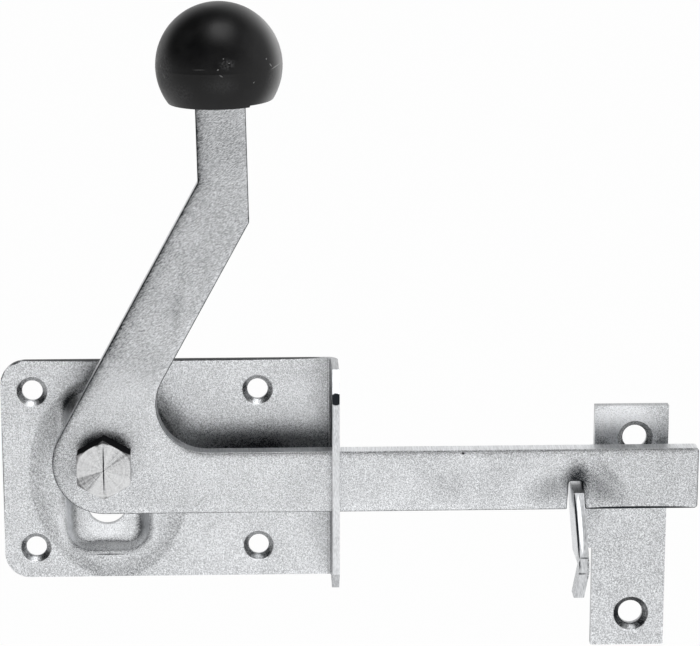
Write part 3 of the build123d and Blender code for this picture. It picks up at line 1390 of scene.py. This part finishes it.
@dataclass
class Lever:
    """Bar with a round pivot end, a cranked handle and a notched arm."""

    pivot: Pair = (-13.4, 6.8)
    back: float = 13.05
    thickness: float = 6.0
    arm_width: float = 21.4
    arm_end: float = 188.6
    pivot_radius: float = 17.8
    tip_radius: float = 1.2
    crank_angle: float = 61.3
    crank_height: float = 96.6
    crank_fillet: float = 17.0
    grip_width: float = 16.7
    grip_lean: float = 1.25
    knob_height: float = 135.4
    grip_above_centre: float = 8.0
    hole_radius: float = 6.05
    lug_left: float = 145.0
    lug_thickness: float = 3.5
    lug_top_gap: float = 1.6
    notch_depth: float = 10.0
    notch_leans: Pair = (3.1, 9.6)
    notch_gaps: Pair = (0.8, 0.3)
    notch_radius: float = 0.8
    edge_width: float = 0.3
    rolled: tuple[Pair, ...] = ((0.0, 0.4), (0.6, 0.19), (1.5, 0.05), (2.8, 0.0))

    def make(self) -> list[Piece]:
        """Builds and dresses the lever."""
        return [hand_over(self.build(), self.finish(), "lever", "lever")]

    def build(self) -> Piece:
        """Cuts the bar to its outline with rolled front edges, drills it and rounds it.

        Returns:
            The lever.
        """
        outline = self._outline()
        front = self.back + self.thickness
        layers = [(outline, self.back)]
        for inwards, drop in self.rolled:
            layers.append((drawn_in(outline, inwards) if inwards else outline, front - drop))
        bar = Bench.stack("lever_bar", Drawing.FRONT, layers)
        ends = (self.back - CUT_MARGIN, front + CUT_MARGIN)
        hole = Bench.bar_stock("pivot_hole", self.hole_radius, ends, self.pivot, 64)
        Bench.combine(bar, hole, Joining.CUT)
        Bench.soften(bar, self.edge_width)
        return bar

    def finish(self) -> ZincPlate:
        """Zinc plating with the bar's own grain, stained places, painted light and shade, and marks.

        Returns:
            The finish.
        """
        return ZincPlate(
            # Painted light on the bar's sides, and painted shade on its rounded edges, more where they face
            # left or down.
            "bar_zinc", tone=0.66, edge_shade=0.25, side_shade=-0.2, left_shade=0.36, under_shade=0.6,
            grain_above=(18.0, 48.0),
            stains=(
                # Round the notch: a fan at each side, a streak beside the right one, and shade above.
                Patch((138.5, 19.0, -3.0), (13.0, 9.0, 7.5), 0.28, turn=24, core=0.0, ragged=0.1),
                Patch((155.5, 19.0, -3.0), (14.0, 9.0, 8.0), 0.3, turn=-32, core=0.0, ragged=0.1),
                Patch((157.5, 19.0, 2.8), (11.0, 9.0, 2.0), 0.12, turn=-45, ragged=0.2),
                Patch((146.8, 19.0, 0.6), (6.4, 9.0, 8.6), 0.46, core=0.0, ragged=0.08),
                # Faint smudges: the arm's middle, its end, and the crank.
                Patch((103.7, 19.0, -3.0), (8.0, 9.0, 8.0), 0.096),
                Patch((168.0, 19.0, -1.0), (34.0, 9.0, 20.0), 0.056, core=0.5),
                Patch((12.2, 19.0, 62.0), (2.5, 9.0, 14.0), 0.1, turn=-8),
                # Painted shade along the left edge of the crank, the grip and the round end.
                Patch((-4.9, 19.0, 59.4), (70.0, 9.0, 7.0), 0.16, turn=61.3, core=0.0, ragged=0.05),
                Patch((18.9, 19.0, 118.0), (26.0, 9.0, 6.0), 0.18, turn=91.25, core=0.0, ragged=0.05),
                Patch((-26.0, 19.0, 8.0), (12.0, 9.0, 20.0), 0.12, turn=-25),
                # Shade above the bolt's head, along its two upper sides.
                Patch((-13.2, 19.0, 15.6), (9.8, 9.0, 4.8), 0.2, core=0.3, ragged=0.2),
                Patch((-8.6, 19.0, 14.6), (6.6, 3.0, 3.4), 0.4, turn=-30, core=0.1, ragged=0.15),
                Patch((-18.0, 19.0, 14.6), (6.6, 3.0, 3.4), 0.4, turn=30, core=0.1, ragged=0.15),
                # Painted shade on the side of the fillet, and along the arm's lower edge over the keeper.
                Patch((9.0, 15.5, 20.0), (9.0, 3.4, 11.0), 0.42, core=0.6, ragged=0.1),
                Patch((168.0, 19.0, -10.7), (22.0, 3.0, 0.8), 0.72, core=0.6, ragged=0.1),
            ),
            marks=(
                # Three nicks at the edges, and a scratch across the crank.
                Patch((108.0, 19.0, 9.4), (0.8, 3.0, 0.6), 0.72, core=0.3),
                Patch((185.8, 19.0, 11.8), (0.7, 3.0, 0.5), 0.72, core=0.3),
                Patch((36.2, 19.0, 91.4), (0.5, 3.0, 0.6), 0.56, core=0.3),
                Patch((0.0, 19.0, 53.2), (3.0, 3.0, 0.25), 0.24, core=0.3, ragged=0.2),
            ),
        )

    def _outline(self) -> list[Corner]:
        """Outline of the bar, from the pivot end along the arm and back down the handle.

        Returns:
            Its corners.
        """
        bottom = self.pivot[1] - self.pivot_radius
        top = bottom + self.arm_width
        grip_angle = 90 + self.grip_lean
        crank_left = polar(self.pivot, self.crank_angle + 90, self.pivot_radius)
        crank_right = polar(crank_left, self.crank_angle - 90, self.arm_width)
        shoulder_left = crossing(crank_left, self.crank_angle, (0, self.pivot[1] + self.crank_height), 0)
        grip_right = polar(shoulder_left, grip_angle - 90, self.grip_width)
        shoulder_right = crossing(crank_right, self.crank_angle, grip_right, grip_angle)
        grip_middle = polar(shoulder_left, grip_angle - 90, self.grip_width / 2)
        knob_centre = crossing(grip_middle, grip_angle, (0, self.pivot[1] + self.knob_height), 0)
        grip_top = polar(knob_centre, grip_angle, self.grip_above_centre)
        return [
            Corner(*crossing(crank_left, self.crank_angle, (0, bottom), 0), self.pivot_radius, 36),
            *self._notch(bottom),
            Corner(self.arm_end, bottom, self.tip_radius, 6),
            Corner(self.arm_end, top, self.tip_radius, 6),
            Corner(*crossing(crank_right, self.crank_angle, (0, top), 0), self.crank_fillet, 24),
            Corner(*shoulder_right),
            Corner(*polar(grip_top, grip_angle - 90, self.grip_width / 2)),
            Corner(*polar(grip_top, grip_angle + 90, self.grip_width / 2)),
            Corner(*shoulder_left),
        ]

    def _notch(self, bottom: float) -> list[Corner]:
        """Notch over the lug.

        Args:
            bottom: Height of the arm's lower edge.

        Returns:
            Its four corners.
        """
        lug_top = bottom + self.notch_depth - self.lug_top_gap
        left = (self.lug_left - self.notch_gaps[0], lug_top)
        right = (self.lug_left + self.lug_thickness + self.notch_gaps[1], lug_top)
        left_angle, right_angle = 90 - self.notch_leans[0], 90 + self.notch_leans[1]
        roof = (0, bottom + self.notch_depth)
        return [
            Corner(*crossing(left, left_angle, (0, bottom), 0)),
            Corner(*crossing(left, left_angle, roof, 0), self.notch_radius, 6),
            Corner(*crossing(right, right_angle, roof, 0), self.notch_radius, 6),
            Corner(*crossing(right, right_angle, (0, bottom), 0)),
        ]


@dataclass
class Knob:
    """Moulded ball with a flat underside, a parting ridge, a gate mark and a socket for the bar."""

    centre: Pair = (26.7, 142.2)
    depth: float = 16.05
    diameter: float = 41.84
    flat: float = 12.0
    rim_soft: float = 0.48
    rim_sharper_than: float = 20.0
    rim_reach: float = 0.1
    lean: float = 1.25
    socket: Pair = (16.7, 6.0)
    socket_depth: float = 20.0
    equator_reach: float = 0.01
    parting_width: float = 0.18
    parting_rise: float = 0.06
    gate_from: float = 9.8
    gate_height: float = 1.3

    def make(self) -> list[Piece]:
        """Builds and dresses the knob."""
        return [hand_over(self.build(), self.finish(), "knob", "lever")]

    def build(self) -> Piece:
        """Turns the ball, raises its parting ridge, cuts its flat and its gate mark, and opens its socket.

        Returns:
            The knob.
        """
        middle = Drawing.FRONT.place(*self.centre, self.depth)
        up = Vector((-sin(radians(self.lean)), 0, cos(radians(self.lean))))
        foot = middle - up * self.flat * MM
        knob = self._ball(middle, up)
        with Bench.editing(knob):
            Bench.choose_all()
            bpy.ops.mesh.bisect(plane_co=foot, plane_no=up, use_fill=True, clear_inner=True)
        beside = Vector((self.gate_from + self.diameter / 2, 0, 0)) * MM
        gate = self._block("gate", (self.diameter, 2 * self.diameter, self.gate_height * 2), foot + beside)
        Bench.combine(knob, gate, Joining.CUT)
        highest = (self.gate_height + self.rim_reach) * MM
        with Bench.editing(knob):
            Bench.choose(
                knob, Element.EDGE,
                lambda edge: edge.is_convex
                and edge.calc_face_angle(0.0) > radians(self.rim_sharper_than)
                and all((vert.co - foot).dot(up) < highest for vert in edge.verts),
            )
            Bench.bevel(self.rim_soft, 4, clamp=True)
        inside = foot + up * (self.socket_depth - CUT_MARGIN) / 2 * MM
        pocket = self._block("pocket", (*self.socket, self.socket_depth + CUT_MARGIN), inside)
        Bench.combine(knob, pocket, Joining.CUT)
        Bench.polish(knob)
        return knob

    def finish(self) -> MouldedPlastic:
        """Black plastic with the knob's own scuffs, specks and scratches.

        Returns:
            The finish.
        """
        return MouldedPlastic(
            "black_plastic",
            scuffs=(
                # Left side, lower left, middle, lower middle and right side.
                Patch((8.0, 26.0, 141.0), (5.5, 12.0, 11.0), 1.5),
                Patch((13.5, 32.0, 135.0), (7.0, 10.0, 5.0), 0.8),
                Patch((29.5, 36.0, 145.5), (3.5, 8.0, 2.5), 1.2),
                Patch((27.0, 36.0, 138.5), (8.5, 8.0, 3.6), 0.3),
                Patch((45.0, 26.0, 138.0), (4.0, 12.0, 8.0), 0.8),
            ),
            specks=(
                # Scratch across the middle, and three at the left.
                Patch((20.6, 36.0, 143.7), (2.6, 6.0, 0.2), 0.3, turn=3, core=0.3, ragged=0.3),
                Patch((6.9, 26.0, 147.0), (0.25, 8.0, 0.9), 0.6, turn=20, ragged=0.2),
                Patch((7.8, 28.0, 143.4), (0.3, 8.0, 0.9), 0.5, turn=-10, ragged=0.2),
                Patch((9.0, 28.0, 140.4), (0.4, 8.0, 1.3), 0.4, turn=25, ragged=0.3),
                # Specks right of the middle.
                Patch((28.4, 36.0, 147.3), (0.3, 6.0, 0.25), 0.9, ragged=0.0),
                Patch((30.2, 36.0, 145.9), (0.35, 6.0, 0.25), 0.9, ragged=0.0),
                Patch((26.6, 36.0, 143.8), (0.5, 6.0, 0.3), 0.9, turn=20, ragged=0.1),
                Patch((27.6, 36.0, 141.8), (0.9, 6.0, 0.3), 0.7, turn=-30, ragged=0.3),
                # Specks and scratches at the right.
                Patch((38.1, 32.0, 139.1), (0.5, 6.0, 0.25), 0.8, turn=50, ragged=0.1),
                Patch((42.2, 30.0, 146.2), (0.25, 6.0, 0.4), 0.8, ragged=0.1),
                Patch((45.4, 26.0, 143.2), (2.4, 7.0, 0.25), 0.9, turn=20, core=0.3, ragged=0.2),
                Patch((43.6, 28.0, 144.0), (0.25, 7.0, 0.9), 0.7, turn=30, core=0.3, ragged=0.2),
            ),
        )

    def _ball(self, middle: Vector, up: Vector) -> Piece:
        """Ball with a fine ridge where the two halves of the mould met.

        Args:
            middle: The ball's middle.
            up: Direction of its leaning axis.

        Returns:
            The ball.
        """
        bpy.ops.object.select_all(action="DESELECT")
        bpy.ops.mesh.primitive_uv_sphere_add(
            segments=128, ring_count=64, radius=self.diameter / 2 * MM, location=middle,
            rotation=(0, -radians(self.lean), 0),
        )
        ball = Bench.fresh("knob_ball")
        Bench.settle(ball)
        growth = 1 + 2 * self.parting_rise / self.diameter

        def on_equator(edge: Edge) -> bool:
            """Whether an edge runs round the ball's widest place."""
            return all(abs((vert.co - middle).dot(up)) < self.equator_reach * MM for vert in edge.verts)

        with Bench.editing(ball):
            Bench.choose(ball, Element.EDGE, on_equator)
            Bench.bevel(self.parting_width, 2)
            Bench.choose(ball, Element.EDGE, on_equator)
            bpy.ops.transform.resize(value=(growth,) * 3, center_override=middle)
        return ball

    def _block(self, name: str, size: Place, middle: Vector) -> Piece:
        """Block that leans as the knob does.

        Args:
            name: Name of the new piece.
            size: Its width, depth and height.
            middle: Its middle.

        Returns:
            The block.
        """
        bpy.ops.object.select_all(action="DESELECT")
        bpy.ops.mesh.primitive_cube_add(size=MM, rotation=(0, -radians(self.lean), 0), scale=size)
        block = Bench.fresh(name)
        block.location = middle
        Bench.settle(block)
        return block


@dataclass
class PivotSet:
    """Hexagonal bolt, washer and lock nut that carry the lever."""

    pivot: Pair = (-13.4, 6.8)
    across_flats: float = 18.0
    head: Pair = (19.1, 26.6)
    shank_diameter: float = 12.0
    bolt_end: float = 1.5
    washer: Pair = (10.5, 13.0)
    washer_diameter: float = 24.0
    nut: Pair = (2.0, 8.0)
    bore_radius: float = 6.05
    chamfer_angle: float = 30.0
    edge_width: float = 0.18

    def make(self) -> list[Piece]:
        """Builds and dresses the bolt, the washer and the nut in turn.

        Returns:
            The three pieces.
        """
        jobs = ((self.bolt, "pivot_bolt"), (self.washer_ring, "pivot_washer"), (self.lock_nut, "lock_nut"))
        return [hand_over(build(), self.finish(), node, "fixed") for build, node in jobs]

    def bolt(self) -> Piece:
        """Bolt with a chamfered head.

        Returns:
            The bolt.
        """
        bolt = self._hexagon("bolt_head", self.head, self.head[0])
        ends = (self.bolt_end, self.head[0] + CUT_MARGIN)
        shank = Bench.bar_stock("shank", self.shank_diameter / 2, ends, self.pivot, 64)
        Bench.combine(bolt, shank, Joining.ADD)
        Bench.soften(bolt, self.edge_width, segments=2)
        return bolt

    def washer_ring(self) -> Piece:
        """Flat washer between the boss and the lever."""
        stock = Bench.bar_stock("washer_stock", self.washer_diameter / 2, self.washer, self.pivot, 96)
        return self._ring("washer_ring", stock, self.washer)

    def lock_nut(self) -> Piece:
        """Nut with a turned chamfer at its back, held by the walls of the hollow."""
        return self._ring("nut_body", self._hexagon("nut_stock", self.nut, self.nut[1]), self.nut)

    def finish(self) -> TurnedSteel:
        """Turned steel with a dark line down the bolt's face."""
        dark_line = Patch((-13.4, 26.6, 7.2), (0.3, 3.0, 10.4), 0.8, core=0.5, ragged=0.15)
        return TurnedSteel("turned_steel", centre=self.pivot, marks=(dark_line,))

    def _hexagon(self, name: str, ends: Pair, wide_end: float) -> Piece:
        """Hexagonal stock with one corner up, its corners turned off at one end.

        Args:
            name: Name of the new piece.
            ends: Depths of its back and front.
            wide_end: The depth of the end that keeps its corners.

        Returns:
            The closed solid.
        """
        radius = self.across_flats / 2
        stock = Bench.bar_stock(name, radius / cos(radians(30)), ends, self.pivot, 6)
        cone = Bench.bar_stock("cone", radius, ends, self.pivot, 96)
        growth = 1 + (ends[1] - ends[0]) / tan(radians(self.chamfer_angle)) / radius
        with Bench.editing(cone):
            Bench.choose(cone, Element.FACE, at_depth(wide_end))
            Bench.widen(growth, Drawing.FRONT.place(*self.pivot, wide_end))
        Bench.combine(stock, cone, Joining.KEEP_SHARED)
        return stock

    def _ring(self, name: str, stock: Piece, ends: Pair) -> Piece:
        """Opens the bore in a washer or nut and rounds its edges.

        Args:
            name: Name of the finished piece.
            stock: The solid that is bored.
            ends: Depths of its back and front.

        Returns:
            The finished piece.
        """
        through = (ends[0] - CUT_MARGIN, ends[1] + CUT_MARGIN)
        bore = Bench.bar_stock("bore", self.bore_radius, through, self.pivot, 64)
        Bench.combine(stock, bore, Joining.CUT)
        Bench.soften(stock, self.edge_width, segments=2)
        stock.name = stock.data.name = name
        return stock


@dataclass
class Keeper:
    """Strip with an ear bent forwards into a lug, and a finger at the lug's front."""

    thickness: float = 3.5
    left: float = 154.7
    right: float = 180.2
    bottom: float = -65.8
    top: float = 21.2
    hole_x: float = 168.7
    hole_pitch: float = 64.0
    screw: ScrewHole = ScrewHole(8.4, 12.2)
    bend_radius: float = 1.5
    lug_left: float = 145.0
    lug_top: float = -2.6
    lug_bottom: float = -30.0
    lug_depth: float = 27.0
    lug_lean: float = 5.5
    finger_length: float = 10.0
    finger_depth: float = 7.0
    finger_lean: float = 10.5
    edge_width: float = 0.3

    def make(self) -> list[Piece]:
        """Builds and dresses the keeper."""
        return [hand_over(self.build(), self.finish(), "keeper", "fixed")]

    def build(self) -> Piece:
        """Cuts the strip, bends the lug and drills the holes.

        Returns:
            The keeper.
        """
        middle = ((self.left + self.right) / 2, (self.bottom + self.top) / 2)
        size = (self.right - self.left, self.top - self.bottom)
        outline = rounded_rectangle(*size, 0.0, middle)
        strip = Bench.blank("keeper_strip", Drawing.FRONT, outline, 0.0, self.thickness)
        for centre in self._holes():
            Bench.combine(strip, self.screw.cutter(centre, self.thickness), Joining.CUT)
        Bench.combine(strip, self._bent_lug(), Joining.ADD)
        Bench.combine(strip, self._finger(), Joining.ADD)
        Bench.soften(strip, self.edge_width)
        return strip

    def finish(self) -> ZincPlate:
        """Zinc plating with the keeper's own painted light and shade, and its marks.

        Returns:
            The finish.
        """
        return ZincPlate(
            # Painted shade on the strip's rounded edges, more where they face down, less past the fold.
            "keeper_zinc", tone=0.63, edge_shade=0.42, fold=(151.0, 149.5), under_shade=0.3,
            stains=(
                # Painted light and shade, with the strip darker beside the lug: light on the strip above the
                # arm with a shadow at each side of its foot, and light on the lug's side.
                Patch((156.0, 3.5, -14.0), (6.0, 9.0, 8.0), 0.08),
                Patch((164.0, 3.5, 14.0), (18.0, 3.0, 12.0), -0.34, core=0.4, ragged=0.1),
                Patch((157.4, 3.5, 8.2), (5.0, 3.0, 3.6), 0.38, core=0.1, ragged=0.5),
                Patch((178.4, 3.5, 8.2), (4.0, 3.0, 3.6), 0.38, core=0.1, ragged=0.5),
                Patch((146.4, 12.0, -17.0), (3.0, 14.5, 17.0), -0.2, core=0.8, ragged=0.1),
            ),
            marks=(
                # Painted shade and light in upright lines down the lug's front edge: dark, bright, faint.
                Patch((146.3, 27.0, -14.0), (0.52, 1.5, 13.0), 1.1, turn=5.5, core=0.7, ragged=0.0),
                Patch((147.5, 27.0, -13.6), (0.75, 1.5, 11.8), -0.5, turn=5.5, core=0.7, ragged=0.0),
                Patch((149.1, 27.0, -17.5), (0.8, 1.5, 12.5), 0.1, turn=5.5, core=0.7, ragged=0.1),
                # Painted shade in lines where the lug bends into the finger.
                Patch((149.2, 27.0, -25.8), (2.0, 1.5, 0.4), 0.4, core=0.3, ragged=0.3),
                Patch((147.6, 27.0, -28.4), (0.3, 1.5, 2.4), 0.6, core=0.5, ragged=0.2),
                Patch((148.2, 27.0, -31.4), (2.2, 1.5, 0.5), 0.35, core=0.4, ragged=0.3),
                *self.screw.light(self._holes()[:1], self.thickness),
            ),
        )

    def _holes(self) -> list[Pair]:
        """Middles of the two screw holes, the lower one first."""
        middle = (self.bottom + self.top) / 2
        return [(self.hole_x, middle - self.hole_pitch / 2), (self.hole_x, middle + self.hole_pitch / 2)]

    def _drift(self) -> float:
        """How far the lean carries the foot of the lug to the right."""
        return (self.lug_top - self.lug_bottom) * tan(radians(self.lug_lean))

    def _bent_lug(self) -> Piece:
        """Ear and lug as one bent tab, leaning as it goes down.

        Returns:
            The closed solid.
        """
        foot = self.lug_left + self._drift()
        t = self.thickness
        section = [
            Corner(foot, 0, self.bend_radius + t, 10),
            Corner(self.left + t + self._drift(), 0),
            Corner(self.left + t + self._drift(), t),
            Corner(foot + t, t, self.bend_radius, 8),
            Corner(foot + t, self.lug_depth),
            Corner(foot, self.lug_depth),
        ]
        tab = Bench.trace("tab", Drawing.PLAN, section, self.lug_bottom)
        Bench.thicken(tab, (-self._drift(), 0, self.lug_top - self.lug_bottom))
        return tab

    def _finger(self) -> Piece:
        """Finger that hangs from the front of the lug.

        Returns:
            The closed solid.
        """
        foot = self.lug_left + self._drift()
        slant = self.finger_length * tan(radians(self.finger_lean))
        tip = self.lug_bottom - self.finger_length
        outline = [
            Corner(foot, self.lug_bottom),
            Corner(foot - slant, tip),
            Corner(foot - slant + self.thickness, tip),
            Corner(foot + self.thickness, self.lug_bottom),
        ]
        start = self.lug_depth - self.finger_depth
        return Bench.blank("finger", Drawing.FRONT, outline, start, self.finger_depth)


@dataclass(frozen=True)
class Softbox:
    """Square soft lamp, with its side in millimetres and its power in watts."""

    name: str
    at: Place
    side: float
    power: float

    def switch_on(self, target: Place) -> None:
        """Adds the lamp, aimed at a place.

        Args:
            target: The place.
        """
        data = bpy.data.lights.new(self.name, "AREA")
        data.size = self.side * MM
        data.energy = self.power
        lamp = bpy.data.objects.new(self.name, data)
        aim(lamp, self.at, target)
        lamp.visible_camera = False


def aim(thing: Piece, at: Place, target: Place) -> None:
    """Puts a lamp or camera in the scene and points it at a place.

    Args:
        thing: The lamp or camera.
        at: Where it stands, in millimetres along X, Y and Z.
        target: What it looks at.
    """
    bpy.context.scene.collection.objects.link(thing)
    thing.location = Vector(at) * MM
    thing.rotation_euler = (Vector(target) - Vector(at)).to_track_quat("-Z", "Y").to_euler()


@dataclass
class Studio:
    """Pale floor, soft lamps and the camera. Its places are in millimetres along X, Y and Z."""

    target: Place = (69.63, -19.0, 55.34)
    camera_at: Place = (37.46, -940.22, 285.16)
    lens: float = 145.85
    farthest: float = 30.0
    floor_z: float = -420.0
    floor_size: float = 40000.0
    floor_colour: Colour = (0.9, 0.9, 0.9, 1)
    floor_glow: float = 0.985
    # The light of the surroundings, which fades upwards, more so at the right and the back.
    surround: float = 0.6
    above_band: Pair = (0.17, 0.57)
    leftwards: float = 0.5
    forwards: float = 0.45
    lamps: tuple[Softbox, ...] = (
        Softbox("low_softbox", (120, -760, -330), 520, 0.85),
        Softbox("top_softbox", (100, -350, 1200), 560, 5.5),
    )

    def build(self) -> None:
        """Adds the floor, the world, the lamps and the camera."""
        self._floor()
        self._world()
        for lamp in self.lamps:
            lamp.switch_on(self.target)
        self._camera()

    @staticmethod
    def _rays(recipe: Recipe, *names: str) -> Value:
        """Which rays are of the named kinds.

        Args:
            recipe: The nodes.
            names: The kinds of ray.

        Returns:
            1 for those kinds, 0 for others.
        """
        outputs = recipe.node("ShaderNodeLightPath").outputs
        found, *others = [Value(recipe, outputs[f"Is {name} Ray"]) for name in names]
        for other in others:
            found = found.larger(other)
        return found

    def _floor(self) -> None:
        """Large pale floor, under everything."""
        bpy.ops.object.select_all(action="DESELECT")
        bpy.ops.mesh.primitive_plane_add(size=self.floor_size * MM, location=(0, 0, self.floor_z * MM))
        floor = bpy.context.object
        floor.name = "floor"
        material = bpy.data.materials.new("pale_floor")
        material.use_nodes = True
        material.node_tree.nodes.clear()
        recipe = Recipe(material.node_tree)
        paint = recipe.node("ShaderNodeBsdfDiffuse", Color=self.floor_colour).outputs["BSDF"]
        glow = recipe.node("ShaderNodeEmission", Color=WHITE, Strength=1.0).outputs["Emission"]
        looked_at = self._rays(recipe, "Camera", "Glossy", "Transmission") * self.floor_glow
        mixed = recipe.node("ShaderNodeMixShader", in0=looked_at, in1=paint, in2=glow)
        recipe.node("ShaderNodeOutputMaterial", Surface=mixed.outputs["Shader"])
        floor.data.materials.append(material)

    def _world(self) -> None:
        """White surroundings to look at, with softer light that fades overhead."""
        world = bpy.data.worlds.new("studio")
        bpy.context.scene.world = world
        world.use_nodes = True
        recipe = Recipe(world.node_tree)
        x, y, z = recipe.axes(recipe.node("ShaderNodeTexCoord").outputs["Generated"])
        lit = 1 - (z - x * self.leftwards - y * self.forwards).smooth(*self.above_band)
        mirrored = self._rays(recipe, "Glossy", "Transmission")
        light = lit * (mirrored + (1 - mirrored) * self.surround)
        seen = self._rays(recipe, "Camera")
        background = world.node_tree.nodes["Background"]
        recipe.feed(background, Color=WHITE, Strength=seen + (1 - seen) * light)

    def _camera(self) -> None:
        """Camera at the photograph's angle."""
        data = bpy.data.cameras.new("camera")
        data.lens = self.lens
        data.clip_end = self.farthest
        camera = bpy.data.objects.new("camera", data)
        aim(camera, self.camera_at, self.target)
        bpy.context.scene.camera = camera
        bpy.context.scene.view_settings.view_transform = "Standard"


def main() -> None:
    """Builds the sub-assemblies in order, reports each piece and sets the studio."""
    for assembly in (BasePlate(), Lever(), Knob(), PivotSet(), Keeper()):
        for piece in assembly.make():
            log.info("%s, of %s: %d faces", piece.name, type(assembly).__name__, len(piece.data.polygons))
    Studio().build()


if __name__ == "__main__":
    logging.basicConfig(level=logging.INFO, format="%(message)s")
    main()
